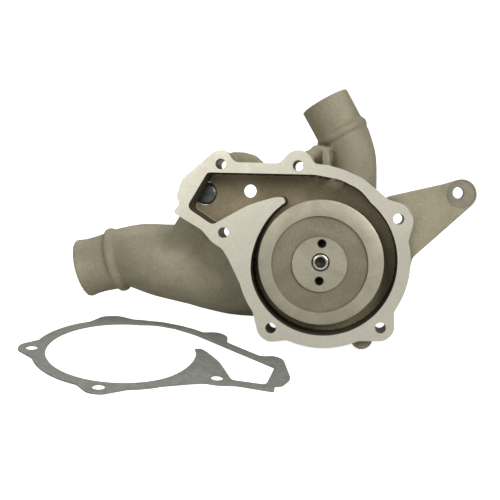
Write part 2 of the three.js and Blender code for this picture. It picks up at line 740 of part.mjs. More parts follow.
function makeShaft() {
  const tip = SHAFT_TIP_RADIUS;
  const journal = BEARING_BORE_RADIUS - GAP;
  const hubEnd = HUB_JOURNAL_RADIUS - GAP;
  const rearFace = REAR_BEARING_Y + BEARING_WIDTH + GAP;
  return turned([
    [0, IMPELLER_FACE + CENTRE_DRILL_DEPTH],
    [CENTRE_DRILL_RADIUS, IMPELLER_FACE + CENTRE_DRILL_DEPTH - 1.5],
    [CENTRE_DRILL_RADIUS, IMPELLER_FACE],
    [tip - 1.2, IMPELLER_FACE],
    [tip, IMPELLER_FACE + 1.2],
    [tip, SHAFT_TIP_END],
    [SEAL_SEAT_RADIUS, SHAFT_TIP_END],
    [SEAL_SEAT_RADIUS, COLLAR_FRONT],
    [COLLAR_RADIUS, COLLAR_FRONT],
    [COLLAR_RADIUS, FRONT_BEARING_Y - GAP],
    [journal, FRONT_BEARING_Y - GAP],
    [journal, rearFace],
    [hubEnd, rearFace],
    [hubEnd, HUB_END - 1.6],
    [hubEnd - 1, HUB_END - 0.6],
    [CENTRE_DRILL_RADIUS, HUB_END - 0.6],
    [0, HUB_END - CENTRE_DRILL_DEPTH],
  ], 24);
}

function makeDriveHub() {
  const bossFront = REAR_BEARING_Y + BEARING_WIDTH + GAP;
  const flangeFront = HUB_END - HUB_THICKNESS;
  const hub = turned([
    [HUB_JOURNAL_RADIUS, bossFront],
    [HUB_BOSS_RADIUS, bossFront],
    [HUB_BOSS_RADIUS, flangeFront],
    [HUB_RADIUS - 1, flangeFront],
    [HUB_RADIUS, flangeFront + 1],
    [HUB_RADIUS, HUB_END - 1],
    [HUB_RADIUS - 1, HUB_END],
    [HUB_RECESS_RADIUS + 1, HUB_END],
    [HUB_RECESS_RADIUS, HUB_END - 2],
    [HUB_JOURNAL_RADIUS, HUB_END - 2],
    [HUB_JOURNAL_RADIUS, bossFront],
  ], 36);
  const screws = Array.from({ length: HUB_SCREW_COUNT }, (_, i) => (
    bar(polar(HUB_SCREW_PITCH_RADIUS, 45 + (360 * i) / HUB_SCREW_COUNT), HUB_SCREW_RADIUS, HUB_END - 20, HUB_END + 1, 12)
  ));
  return cut(hub, ...screws);
}

const slingerFront = DRAIN_FRONT + 1.5;

function makeSlinger() {
  const bore = SEAL_SEAT_RADIUS + GAP;
  return turned([
    [bore, slingerFront],
    [bore + 3, slingerFront],
    [DRAIN_RADIUS - 2.5, slingerFront + 1.6],
    [DRAIN_RADIUS - 2.5, slingerFront + 2.6],
    [bore, slingerFront + 2.6],
    [bore, slingerFront],
  ], 24);
}

// ---------------------------------------------------------------- bearings
const RACE_SHOULDER = 0.66 * BALL_RADIUS; // from ball centre to each race's shoulder
const GROOVE_CLEARANCE = 0.22;
const GROOVE_HALF_WIDTH = Math.sqrt(BALL_RADIUS ** 2 - RACE_SHOULDER ** 2) + 0.52;
const GROOVE_FLOOR_HALF_WIDTH = 0.38 * BALL_RADIUS;
const CAGE_HALF_WIDTH = BALL_RADIUS + 1;
const CAGE_HALF_THICKNESS = 0.9;
const SHIELD_THICKNESS = 0.6;

function makeOuterRace(front) {
  const back = front + BEARING_WIDTH;
  const middle = (front + back) / 2;
  const shoulder = BALL_PITCH_RADIUS + RACE_SHOULDER;
  const groove = BALL_PITCH_RADIUS + BALL_RADIUS + GROOVE_CLEARANCE;
  return turned([
    [shoulder, front],
    [BEARING_OUTER_RADIUS, front],
    [BEARING_OUTER_RADIUS, back],
    [shoulder, back],
    [shoulder, middle + GROOVE_HALF_WIDTH],
    [groove, middle + GROOVE_FLOOR_HALF_WIDTH],
    [groove, middle - GROOVE_FLOOR_HALF_WIDTH],
    [shoulder, middle - GROOVE_HALF_WIDTH],
    [shoulder, front],
  ], 28);
}

function makeInnerRace(front) {
  const back = front + BEARING_WIDTH;
  const middle = (front + back) / 2;
  const shoulder = BALL_PITCH_RADIUS - RACE_SHOULDER;
  const groove = BALL_PITCH_RADIUS - BALL_RADIUS - GROOVE_CLEARANCE;
  return turned([
    [BEARING_BORE_RADIUS, front],
    [shoulder, front],
    [shoulder, middle - GROOVE_HALF_WIDTH],
    [groove, middle - GROOVE_FLOOR_HALF_WIDTH],
    [groove, middle + GROOVE_FLOOR_HALF_WIDTH],
    [shoulder, middle + GROOVE_HALF_WIDTH],
    [shoulder, back],
    [BEARING_BORE_RADIUS, back],
    [BEARING_BORE_RADIUS, front],
  ], 28);
}

function ballAngle(i) {
  return (360 * i) / BALL_COUNT;
}

function makeCage(front) {
  const middle = front + BEARING_WIDTH / 2;
  const pockets = Array.from({ length: BALL_COUNT }, (_, i) => {
    const pocket = new THREE.CylinderGeometry(BALL_RADIUS + GAP, BALL_RADIUS + GAP, 8, 8);
    pocket.rotateZ(Math.PI / 2);
    pocket.translate(BALL_PITCH_RADIUS, middle, 0);
    pocket.rotateY(-radians(ballAngle(i)));
    return solidOf(pocket);
  });
  const inner = BALL_PITCH_RADIUS - CAGE_HALF_THICKNESS;
  const outer = BALL_PITCH_RADIUS + CAGE_HALF_THICKNESS;
  return cut(ring(inner, outer, middle - CAGE_HALF_WIDTH, middle + CAGE_HALF_WIDTH, 36), ...pockets);
}

function makeShield(front) {
  const inner = BALL_PITCH_RADIUS - RACE_SHOULDER + GAP;
  const outer = BALL_PITCH_RADIUS + RACE_SHOULDER - GAP;
  return ring(inner, outer, front, front + SHIELD_THICKNESS, 20);
}

function makeSpacer(inner, outer) {
  return ring(inner, outer, FRONT_BEARING_Y + BEARING_WIDTH + GAP, REAR_BEARING_Y - GAP, 24);
}

// Internal circlip, open at the bottom, with two plier eyes.
function makeCirclip() {
  const outer = BEARING_OUTER_RADIUS + GAP + CIRCLIP_GROOVE_DEPTH - GAP;
  const inner = outer - 3.2;
  const arc = (radius, from, to) => Array.from({ length: 25 }, (_, i) => polar(radius, from + ((to - from) * i) / 24));
  const loop = plate([...arc(outer, -75, 255), ...arc(inner, 255, -75)], CIRCLIP_FRONT, CIRCLIP_FRONT + CIRCLIP_THICKNESS);
  const eyes = [-77, 257].map((angle) => (
    bar(polar(inner - 0.2, angle), 2, CIRCLIP_FRONT, CIRCLIP_FRONT + CIRCLIP_THICKNESS, 12)
  ));
  const holes = [-77, 257].map((angle) => (
    bar(polar(inner - 0.2, angle), 0.8, CIRCLIP_FRONT - 1, CIRCLIP_FRONT + CIRCLIP_THICKNESS + 1, 8)
  ));
  return cut(join(loop, ...eyes), ...holes);
}

// ---------------------------------------------------------------- seal
const WEB_HOLE_RADIUS = SEAL_SEAT_RADIUS + 4;
const SEAT_FRONT = SEAT_CUP_FRONT + 2;
const SEAT_BACK = SEAT_FRONT + 5.7;
const CARBON_BACK = SEAT_BACK + 5.3;
const CASE_WALL = 1.0;
const CASE_LIP = 2;
const BELLOWS_TAIL = 2;
const BELLOWS_RISE = 2.4;
const SPRING_WIRE_RADIUS = 0.65;
const SPRING_RADIUS = SEAL_INNER + BELLOWS_RISE + SPRING_WIRE_RADIUS + 1.55;
const SPRING_TURNS = 3;

function makeSeatCup() {
  return turned([
    [SEAL_INNER, SEAT_CUP_FRONT],
    [SEAT_CUP_RADIUS, SEAT_CUP_FRONT],
    [SEAT_CUP_RADIUS, SEAT_BACK - 0.8],
    [SEAT_RADIUS + GAP, SEAT_BACK - 0.8],
    [SEAT_RADIUS + GAP, SEAT_FRONT - GAP],
    [SEAL_INNER, SEAT_FRONT - GAP],
    [SEAL_INNER, SEAT_CUP_FRONT],
  ], 24);
}

function makeSealCase() {
  const outer = SEAL_BORE_RADIUS - GAP;
  const back = SEAL_BORE_BACK - GAP;
  const lipBack = SEAL_NOSE_FRONT - GAP;
  return turned([
    [SEAL_INNER, back - CASE_WALL],
    [outer - CASE_WALL, back - CASE_WALL],
    [outer - CASE_WALL, lipBack - CASE_WALL],
    [outer + CASE_LIP, lipBack - CASE_WALL],
    [outer + CASE_LIP, lipBack],
    [outer, lipBack],
    [outer, back],
    [SEAL_INNER, back],
    [SEAL_INNER, back - CASE_WALL],
  ], 32);
}

function makeBellows() {
  const back = SEAL_BORE_BACK - CASE_WALL - 2 * GAP;
  const front = CARBON_BACK + GAP;
  const folds = [1.2, BELLOWS_RISE, 1.2, BELLOWS_RISE, 1.2].map((rise, i) => [SEAL_INNER + rise, front + 2 * i]);
  const tail = back - BELLOWS_TAIL;
  return turned([
    [SEAL_INNER, front],
    ...folds,
    [SEAL_INNER + 1.2, tail],
    [SEAL_BORE_RADIUS - CASE_WALL - 1.2, tail],
    [SEAL_BORE_RADIUS - CASE_WALL - 1.2, back],
    [SEAL_INNER, back],
    [SEAL_INNER, front],
  ], 24);
}

class Helix extends THREE.Curve {
  constructor(radius, from, to, turns) {
    super();
    Object.assign(this, { radius, from, to, turns });
  }

  getPoint(t, target = new THREE.Vector3()) {
    const angle = 2 * Math.PI * this.turns * t;
    const y = this.from + (this.to - this.from) * t;
    return target.set(this.radius * Math.cos(angle), y, this.radius * Math.sin(angle));
  }
}

function makeSealSpring() {
  const section = new THREE.Shape();
  section.absarc(0, 0, SPRING_WIRE_RADIUS, 0, 2 * Math.PI);
  const front = CARBON_BACK + SPRING_WIRE_RADIUS + GAP;
  const back = SEAL_BORE_BACK - CASE_WALL - 2 * GAP - BELLOWS_TAIL - SPRING_WIRE_RADIUS - GAP;
  const extrudePath = new Helix(SPRING_RADIUS, front, back, SPRING_TURNS);
  return solidOf(new THREE.ExtrudeGeometry(section, { extrudePath, steps: 16 * SPRING_TURNS, curveSegments: 2 }));
}

// ---------------------------------------------------------------- gasket
function makeGasket() {
  const holes = punchedHoles.map((hole) => (
    Array.from({ length: 16 }, (_, i) => polar(BOLT_HOLE_RADIUS + 0.3, (360 * i) / 16).add(hole))
  ));
  return plate(flangeOutline(), 0, GASKET_THICKNESS, [cavityOutline(), ...holes]);
}

// ---------------------------------------------------------------- assembly
function add(parent, name, solid, material) {
  const mesh = new THREE.Mesh(geometryOf(solid), material);
  mesh.name = name;
  parent.add(mesh);
  return mesh;
}

function addBearing(parent, name, front) {
  add(parent, `${name}_outer_race`, makeOuterRace(front), steel());
  add(parent, `${name}_inner_race`, makeInnerRace(front), steel());
  add(parent, `${name}_cage`, makeCage(front), brass());
  add(parent, `${name}_front_shield`, makeShield(front + 0.4), darkSteel());
  add(parent, `${name}_rear_shield`, makeShield(front + BEARING_WIDTH - 0.4 - SHIELD_THICKNESS), darkSteel());
  for (let i = 0; i < BALL_COUNT; i += 1) {
    const ball = add(parent, `${name}_ball_${i + 1}`, solidOf(new THREE.SphereGeometry(BALL_RADIUS, 8, 6)), steel());
    const place = polar(BALL_PITCH_RADIUS, ballAngle(i));
    ball.position.set(place.x, front + BEARING_WIDTH / 2, place.y);
  }
}

// Lean and roll that put three round edges on one floor: each has a centre, a
// radius and the depth of its edge.
function restAngles(first, second, third) {
  let slope = 0;
  let roll = 0;
  for (let i = 0; i < 8; i += 1) {
    const across = first.at.clone().sub(second.at);
    const rise = first.radius - second.radius + slope * (first.depth - second.depth);
    roll = Math.atan2(across.x, across.y) + Math.acos(rise / across.length());
    if (Math.abs(roll) > Math.PI / 2) roll -= 2 * Math.acos(rise / across.length());
    const reach = ({ at, radius }) => at.x * Math.sin(roll) + at.y * Math.cos(roll) - radius;
    slope = (reach(third) - reach(first)) / (third.depth - first.depth);
  }
  return { lean: Math.atan(slope), roll };
}

const pump = new THREE.Group();
add(pump, 'pump_housing', makeHousing(), castIron());
add(pump, 'core_plug', makeCorePlug(), steel());
add(pump, 'impeller', makeImpeller(), machinedIron());
add(pump, 'pump_shaft', makeShaft(), steel());
add(pump, 'drive_hub', makeDriveHub(), machinedIron());
add(pump, 'water_slinger', makeSlinger(), darkSteel());
addBearing(pump, 'front_bearing', FRONT_BEARING_Y);
addBearing(pump, 'rear_bearing', REAR_BEARING_Y);
add(pump, 'inner_spacer', makeSpacer(BEARING_BORE_RADIUS, BEARING_BORE_RADIUS + 3), steel());
add(pump, 'outer_spacer', makeSpacer(BEARING_OUTER_RADIUS - 3, BEARING_OUTER_RADIUS), steel());
add(pump, 'bearing_circlip', makeCirclip(), darkSteel());
add(pump, 'seal_seat_cup', makeSeatCup(), blackRubber());
add(pump, 'seal_seat', ring(SEAL_INNER, SEAT_RADIUS, SEAT_FRONT, SEAT_BACK, 28), ceramic());
add(pump, 'seal_carbon_ring', ring(SEAL_INNER, SEAT_RADIUS - 0.6, SEAT_BACK + GAP, CARBON_BACK, 28), carbon());
add(pump, 'seal_bellows', makeBellows(), blackRubber());
add(pump, 'seal_spring', makeSealSpring(), steel());
add(pump, 'seal_case', makeSealCase(), brass());

const rest = restAngles(
  { at: boltHoles.bottomLeft, radius: BOSS_RADIUS, depth: BOLT_BOSS_DEPTH },
  { at: foot.at, radius: foot.radius, depth: SHELL_BACK },
  { at: new THREE.Vector2(0, 0), radius: HUB_RADIUS, depth: HUB_END - 1 },
);
pump.rotation.set(-rest.lean, -rest.roll, 0);
const pumpBox = new THREE.Box3().setFromObject(pump, true);
pump.position.z = -pumpBox.min.z;

// The gasket lies flat in front of the inlet side, turned over.
const gasketPlace = new THREE.Group();
add(gasketPlace, 'volute_gasket', makeGasket(), paper());
gasketPlace.rotation.set(Math.PI / 2, 0, radians(GASKET_TURN), 'ZYX');
gasketPlace.position.set(GASKET_PLACE.x, GASKET_PLACE.y, 0);

const waterPump = new THREE.Group();
waterPump.add(pump, gasketPlace);
const box = new THREE.Box3().setFromObject(waterPump, true);
const middle = box.getCenter(new THREE.Vector3());
waterPump.position.set(-middle.x, -middle.y, 0);

export default waterPump;
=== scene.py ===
import json
import math

import bpy
import numpy as np
from mathutils import Matrix, Vector


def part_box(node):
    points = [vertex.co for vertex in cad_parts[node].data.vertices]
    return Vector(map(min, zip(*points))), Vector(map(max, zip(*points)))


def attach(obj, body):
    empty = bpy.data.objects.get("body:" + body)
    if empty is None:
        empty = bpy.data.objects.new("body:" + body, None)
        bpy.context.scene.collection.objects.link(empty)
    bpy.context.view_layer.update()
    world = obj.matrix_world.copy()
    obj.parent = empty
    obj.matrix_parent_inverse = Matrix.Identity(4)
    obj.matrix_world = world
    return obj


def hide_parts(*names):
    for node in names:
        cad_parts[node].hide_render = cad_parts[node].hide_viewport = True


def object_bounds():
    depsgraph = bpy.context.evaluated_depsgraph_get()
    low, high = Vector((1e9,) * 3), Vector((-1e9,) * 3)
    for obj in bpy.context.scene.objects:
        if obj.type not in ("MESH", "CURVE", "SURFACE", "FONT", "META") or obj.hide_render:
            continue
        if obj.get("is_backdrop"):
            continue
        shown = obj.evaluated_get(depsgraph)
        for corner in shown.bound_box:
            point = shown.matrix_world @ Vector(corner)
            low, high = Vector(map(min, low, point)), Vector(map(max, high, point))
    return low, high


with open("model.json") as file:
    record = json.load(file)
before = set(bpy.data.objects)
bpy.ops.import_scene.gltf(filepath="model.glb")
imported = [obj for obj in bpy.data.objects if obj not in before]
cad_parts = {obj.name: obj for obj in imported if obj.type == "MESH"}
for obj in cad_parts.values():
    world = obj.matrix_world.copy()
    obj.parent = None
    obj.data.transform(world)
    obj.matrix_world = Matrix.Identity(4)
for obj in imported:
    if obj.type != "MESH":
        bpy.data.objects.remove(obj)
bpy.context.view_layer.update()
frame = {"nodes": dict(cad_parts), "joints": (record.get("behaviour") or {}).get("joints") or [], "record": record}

# ---------------------------------------------------------------- frame of the pump
record = frame["record"]
spin = next(joint for joint in frame["joints"] if joint["name"] == "shaft_spin")
engine_face = next(mount for mount in record["mounts"] if mount["name"] == "engine_face")
shaft_point = Vector(spin["pos_m"])
pump_back = Vector(spin["axis"]).normalized()
pump_up = shaft_point - Vector(engine_face["pos_m"])
pump_up -= pump_back * pump_up.dot(pump_back)
pump_up.normalize()
pump_right = pump_back.cross(pump_up)
PUMP = Matrix((pump_right, pump_back, pump_up)).transposed().to_4x4()
PUMP.translation = shaft_point
TO_ROW = PUMP @ Matrix.Scale(0.001, 4)

# ---------------------------------------------------------------- sizes, millimetres
TONGUE_ANGLE = 119
SPIRAL_END = 409
VOLUTE_RADIUS = 54.3
VOLUTE_GROWTH = 7.6
TONGUE_DIP = 1.9
TONGUE_DIP_ANGLE = 155
TONGUE_DIP_SPREAD = 42
VOLUTE_DEPTH = 26.6
SHELL_BACK = 32
SIDE_WALL = 5.5
FLANGE_THICKNESS = 12
FLANGE_RIM = 9.9
EAR_RADIUS = 10.4
TOP_EAR_RADIUS = 11.8
BOLT_HOLE_RADIUS = 4.2
BOLT_BOSS_DEPTH = 31.5
BOSS_RADIUS = 10.3
BOLT_ACCESS_RADIUS = 9.5
BOLT_ACCESS_DEPTH = 10
PLUG_HOLE_RADIUS = 9.8
FLOOR_HOLE_RADIUS = 5.4
NECK_DEPTH = 55
NECK_WALL = 4.5
INLET_NECK_RADIUS = 25.3
INLET_BEAD = 3.0
NECK_WAIST = 0.9  # how far the inlet neck draws in behind its lip
INLET_BEAD_DISTANCE = 31.5
BYPASS_NECK_RADIUS = 20.6
BYPASS_BEAD = 2.0
BYPASS_BEAD_DISTANCE = 30.5
BEAD_HALF_WIDTH = 4
CHAMBER_RADIUS = 50
CHAMBER_WALL = 5.5
CHAMBER_FRONT = 30
CHAMBER_BACK = 80
EYE_RADIUS = 31
SEAL_NOSE_RADIUS = 24
SEAL_NOSE_FRONT = 50
SEAL_BORE_RADIUS = 18
SEAL_BORE_BACK = 68
DRAIN_RADIUS = 17
DRAIN_FRONT = 74
WEEP_RADIUS = 3
BEARING_HOUSING_RADIUS = 32
HOUSING_END = 117
ARM_FRONT = 14
ARM_THICKNESS = 12.5
LUG_CENTRE = (109, 51)
LUG_RADIUS = 12.3
LUG_HOLE = (107.4, 52.3)
LUG_HOLE_RADIUS = 4.5
SPOT_FACE_RADIUS = 11
SPOT_FACE_DEPTH = 0.8
SKIRT_OVERLAP = 3  # of the skirt with the shell
SKIRT_DEPTH = 9  # behind the shell
WEB_FRONT = 30
WEB_RIB_FRONT = 18
HANGER_FRONT = 14
FOOT_RADIUS = 8.9
BLANK_FRONT = 11  # where the volute, shell and bosses start, inside the flange
FACING_STOCK = 4  # cast in front of the engine face, cut off by the facing
BACK_RIB_ANGLES = (50, 130, 310)
VOXEL = 1.0
SMOOTHING_PASSES = 10


# ---------------------------------------------------------------- solids
def mesh_object(name, points, faces):
    mesh = bpy.data.meshes.new(name)
    mesh.from_pydata([tuple(p) for p in points], [], faces)
    mesh.update()
    made = bpy.data.objects.new(name, mesh)
    bpy.context.scene.collection.objects.link(made)
    return made


def evaluated(obj):
    """Applies every modifier of obj to its mesh."""
    graph = bpy.context.evaluated_depsgraph_get()
    mesh = bpy.data.meshes.new_from_object(obj.evaluated_get(graph))
    old = obj.data
    obj.modifiers.clear()
    obj.data = mesh
    bpy.data.meshes.remove(old)
    return obj


def combine(target, tools, operation):
    for tool in tools:
        step = target.modifiers.new("combine", "BOOLEAN")
        step.operation = operation
        step.solver = "MANIFOLD"
        step.object = tool
        evaluated(target)
        bpy.data.objects.remove(tool)
    return target


def join(target, *tools):
    return combine(target, tools, "UNION")


def cut(target, *tools):
    return combine(target, tools, "DIFFERENCE")


def stack(name, rings):
    """Closed body through rings of equal length, capped at both ends."""
    count = len(rings[0])
    points = [p for ring in rings for p in ring]
    faces = []
    for s in range(len(rings) - 1):
        for i in range(count):
            a, b = s * count + i, s * count + (i + 1) % count
            faces.append((a, b, b + count, a + count))
    faces.append(tuple(reversed(range(count))))
    last = (len(rings) - 1) * count
    faces.append(tuple(range(last, last + count)))
    made = mesh_object(name, points, faces)
    return outward(made)


def outward(obj):
    """Turns the faces outwards if the body is inside out."""
    mesh = obj.data
    mesh.calc_loop_triangles()
    co = np.empty(len(mesh.vertices) * 3)
    mesh.vertices.foreach_get("co", co)
    co = co.reshape(-1, 3)
    tri = np.empty(len(mesh.loop_triangles) * 3, dtype=np.int64)
    mesh.loop_triangles.foreach_get("vertices", tri)
    a, b, c = (co[tri.reshape(-1, 3)[:, k]] for k in range(3))
    if np.einsum("ij,ij->i", a, np.cross(b, c)).sum() < 0:
        mesh.flip_normals()
    return obj


def plate(outline, front, back, name="plate"):
    return stack(name, [[(x, y, z) for x, z in outline] for y in (front, back)])


def bar(centre, radius, front, back, sides=64):
    return plate(circle(centre, radius, sides), front, back, "bar")


def circle(centre, radius, sides):
    turns = [2 * math.pi * i / sides for i in range(sides)]
    return [(centre[0] + radius * math.cos(t), centre[1] + radius * math.sin(t)) for t in turns]


def turned(profile, sides=128, name="turned"):
    """Body turned about the shaft. The profile lists (radius, y) and starts and
    ends on the axis, or comes back to its first point."""
    closed = profile[0] == profile[-1]
    points, faces = [], []
    rows = []
    for radius, y in profile[:-1] if closed else profile:
        if radius == 0:
            rows.append([len(points)] * sides)
            points.append((0, y, 0))
            continue
        rows.append([len(points) + i for i in range(sides)])
        for i in range(sides):
            t = 2 * math.pi * i / sides
            points.append((radius * math.cos(t), y, radius * math.sin(t)))
    pairs = list(zip(rows, rows[1:] + rows[:1])) if closed else list(zip(rows, rows[1:]))
    for lower, upper in pairs:
        for i in range(sides):
            j = (i + 1) % sides
            quad = (lower[i], lower[j], upper[j], upper[i])
            face = tuple(dict.fromkeys(quad))
            if len(face) > 2:
                faces.append(face)
    return outward(mesh_object(name, points, faces))


def spline(values, per_span):
    """Catmull-Rom through rows of numbers."""
    rows = np.array(values, float)
    padded = np.vstack([2 * rows[0] - rows[1], rows, 2 * rows[-1] - rows[-2]])
    made = []
    for k in range(len(rows) - 1):
        p0, p1, p2, p3 = padded[k : k + 4]
        for i in range(per_span):
            t = i / per_span
            made.append(0.5 * (
                2 * p1 + (p2 - p0) * t + (2 * p0 - 5 * p1 + 4 * p2 - p3) * t * t
                + (3 * p1 - p0 - 3 * p2 + p3) * t**3
            ))
    made.append(rows[-1])
    return made


def tube(stations, sides=96, per_span=6, name="tube"):
    """Body through stations (x, z, heading in degrees, across, deep) at the
    depth of the neck axes."""
    rings = []
    for x, z, heading, across, deep in spline(stations, per_span):
        angle = math.radians(heading)
        side = np.array([math.sin(angle), 0, -math.cos(angle)])
        turns = [2 * math.pi * i / sides for i in range(sides)]
        rings.append([
            np.array([x, NECK_DEPTH, z]) + side * across * math.cos(t)
            + np.array([0, deep * math.sin(t), 0]) for t in turns
        ])
    return stack(name, rings)


# ---------------------------------------------------------------- outlines
def polar(radius, degrees, centre=(0, 0)):
    t = math.radians(degrees)
    return (centre[0] + radius * math.cos(t), centre[1] + radius * math.sin(t))


def volute_radius(degrees):
    return VOLUTE_RADIUS + VOLUTE_GROWTH * (degrees - TONGUE_ANGLE) / 360


def beside_volute(degrees, offset):
    return polar(volute_radius(degrees) + offset, degrees)


def tongue_dip(degrees):
    """How far the wall closes in behind the tongue."""
    away = min(1, abs(degrees - TONGUE_DIP_ANGLE) / TONGUE_DIP_SPREAD)
    return TONGUE_DIP * math.cos(away * math.pi / 2) ** 2


def spiral(start, end, offset, dip=None, step=3):
    steps = max(1, round((end - start) / step))
    angles = [start + (end - start) * i / steps for i in range(steps + 1)]
    return [(*beside_volute(a, offset - (dip(a) if dip else 0)), 0) for a in angles]


TONGUE_ROOT = polar(VOLUTE_RADIUS, TONGUE_ANGLE)


def from_tongue(x, z, fillet=0):
    return (TONGUE_ROOT[0] + x, TONGUE_ROOT[1] + z, fillet)


def ear(hole, radius, facings):
    corners = []
    for first, second in zip(facings, facings[1:]):
        half = (second - first) / 2
        place = polar(radius / math.cos(math.radians(half)), first + half, hole)
        corners.append((*place, radius))
    return corners


def rounded(corners, step=6):
    """Polygon whose corners are replaced by arcs of their fillet radius."""
    points = []
    count = len(corners)
    for i, (x, z, fillet) in enumerate(corners):
        at = np.array([x, z])
        before = np.array(corners[i - 1][:2]) - at
        after = np.array(corners[(i + 1) % count][:2]) - at
        size_before, size_after = np.linalg.norm(before), np.linalg.norm(after)
        cosine = np.clip(before @ after / size_before / size_after, -1, 1)
        bend = math.pi - math.acos(cosine)
        run = min(fillet * math.tan(bend / 2), 0.49 * min(size_before, size_after))
        if run < 0.05:
            points.append((x, z))
            continue
        start = at + before / size_before * run
        end = at + after / size_after * run
        pieces = max(1, round(math.degrees(bend) / step))
        weight = math.cos(bend / 2)
        for k in range(pieces + 1):
            t = k / pieces
            a, b, c = (1 - t) ** 2, 2 * t * (1 - t) * weight, t * t
            points.append(tuple((a * start + b * at + c * end) / (a + b + c)))
    return points


BOLT_HOLES = {
    "pocket_top": from_tongue(-50.8, 31.1)[:2],
    "top": from_tongue(10.2, 28.3)[:2],
    "pocket_bottom": from_tongue(-49.9, -23.0)[:2],
    "right": beside_volute(388.5, 8.9),
    "bottom_left": beside_volute(232.2, 8.5),
    "bottom_right": beside_volute(311.6, 10.5),
}
PUNCHED_HOLES = [BOLT_HOLES[k] for k in ("pocket_bottom", "bottom_left", "bottom_right")]
PLUG_CENTRE = from_tongue(-68.6, 8.9)[:2]
FLOOR_HOLE = from_tongue(-31.3, 9.8)[:2]
FOOT = (31, -61.5)


def cavity_outline():
    return rounded([
        *spiral(TONGUE_ANGLE, SPIRAL_END, 0, tongue_dip),
        from_tongue(58.3, 8.2, 25),
        from_tongue(42.7, 16.6, 25),
        from_tongue(22.7, 20.9, 20),
        from_tongue(-61.6, 24.8, 3),
        from_tongue(-78.9, -2.5, 4),
        from_tongue(-58.6, -16.8, 4),
        from_tongue(-29, -1.2, 60),
        from_tongue(-8, 4.2, 20),
        from_tongue(-1.8, 4.2, 1.5),
    ])


def flange_outline():
    rim = FLANGE_RIM
    return rounded([
        *ear(BOLT_HOLES["right"], EAR_RADIUS - 0.5, [-38, 30, 95]),
        *spiral(403, 415, rim + 0.8),
        from_tongue(60.2, 17, 20),
        from_tongue(45.5, 24.2, 20),
        from_tongue(33.6, 27.9, 8),
        from_tongue(23, 29.4, 4),
        *ear(BOLT_HOLES["top"], TOP_EAR_RADIUS, [34, 92, 139]),
        from_tongue(-4.2, 30.4, 6),
        from_tongue(-40.2, 32.1, 7),
        *ear(BOLT_HOLES["pocket_top"], EAR_RADIUS + 0.5, [41, 88, 130]),
        from_tongue(-82.6, 19.8, 16),
        from_tongue(-87.2, 5.6, 10),
        from_tongue(-84.4, 0.8, 2),
        from_tongue(-90.2, -6.3, 1.5),
        from_tongue(-67.4, -20.4, 14),
        from_tongue(-59.0, -30.6, 10),
        from_tongue(-51.3, -35.6, 8),
        from_tongue(-46.8, -43.2, 10),
        *spiral(194, 215, rim),
        *ear(BOLT_HOLES["bottom_left"], EAR_RADIUS, [183, 230, 282]),
        *spiral(246, 295, rim),
        *ear(BOLT_HOLES["bottom_right"], EAR_RADIUS - 0.5, [258, 310, 370]),
        *spiral(325, 373, rim),
    ])


def shell_outline():
    return rounded([
        from_tongue(28, 27.2, 30),
        from_tongue(-65.5, 31.4, 8),
        from_tongue(-86, -1.2, 8),
        from_tongue(-58.5, -24.0, 8),
        (-30, -6, 0),
        (20, 10, 0),
    ])


def skirt_outline():
    return rounded([
        from_tongue(-84.3, 1.6, 2),
        from_tongue(-105.3, -31.4, 2),
        from_tongue(-102.3, -64.4, 2),
        from_tongue(-44.3, -64.4, 2),
        from_tongue(-34.3, -18.4, 2),
        from_tongue(-58.3, -6.4, 2),
    ])


def arm_outline():
    return rounded([
        (50, -10, 0),
        (69, -12, 2),
        (71.5, 1.6, 8),
        *ear(LUG_CENTRE, LUG_RADIUS, [-49, 27, 102]),
        (97, 59.6, 6),
        (54, 50.8, 3),
        (40, 44, 0),
    ])


def hanger_outline():
    return rounded([
        (-72, 70, 0), (-40, 70, 0), (-43.5, 77.5, 2), (-52, 85.8, 3), (-60, 88.3, 3), (-71, 89, 3),
        (-74, 84, 3),
    ])


def web_outline():
    return rounded([
        (-15, 66, 0), (6, 62, 0), (8, 91, 0), (-5, 94, 3), (-8.5, 90, 6), (-15, 88, 3),
    ])


def web_rib_outline():
    return rounded([(2.6, 66, 0), (8, 66, 0), (8, 85, 4), (4.5, 91, 2), (1, 88, 2)])


def ear_rib_outline():
    return rounded([(-11, 66, 0), (-3, 66, 0), (-4.5, 83, 3), (-9, 88, 2), (-12, 85, 2)])


# ---------------------------------------------------------------- necks
def run_from(end, heading, distance, across):
    t = math.radians(heading)
    place = (end[0] + distance * math.cos(t), end[1] + distance * math.sin(t))
    return (*place, heading, across, across)


def bead_stations(end, heading, distance, neck, height):
    """Rounded hose bead, listed along the neck."""
    made = []
    for i in range(9):
        along = -1 + i / 4
        rise = height * math.sqrt(max(0.0, 1 - along * along))
        made.append(run_from(end, heading, distance + BEAD_HALF_WIDTH * along, neck + rise))
    return made


INLET_END = (-209.6, -6.7)
INLET_HEADING = 13.5
BYPASS_END = (3.1, 131.4)
BYPASS_HEADING = -62.6


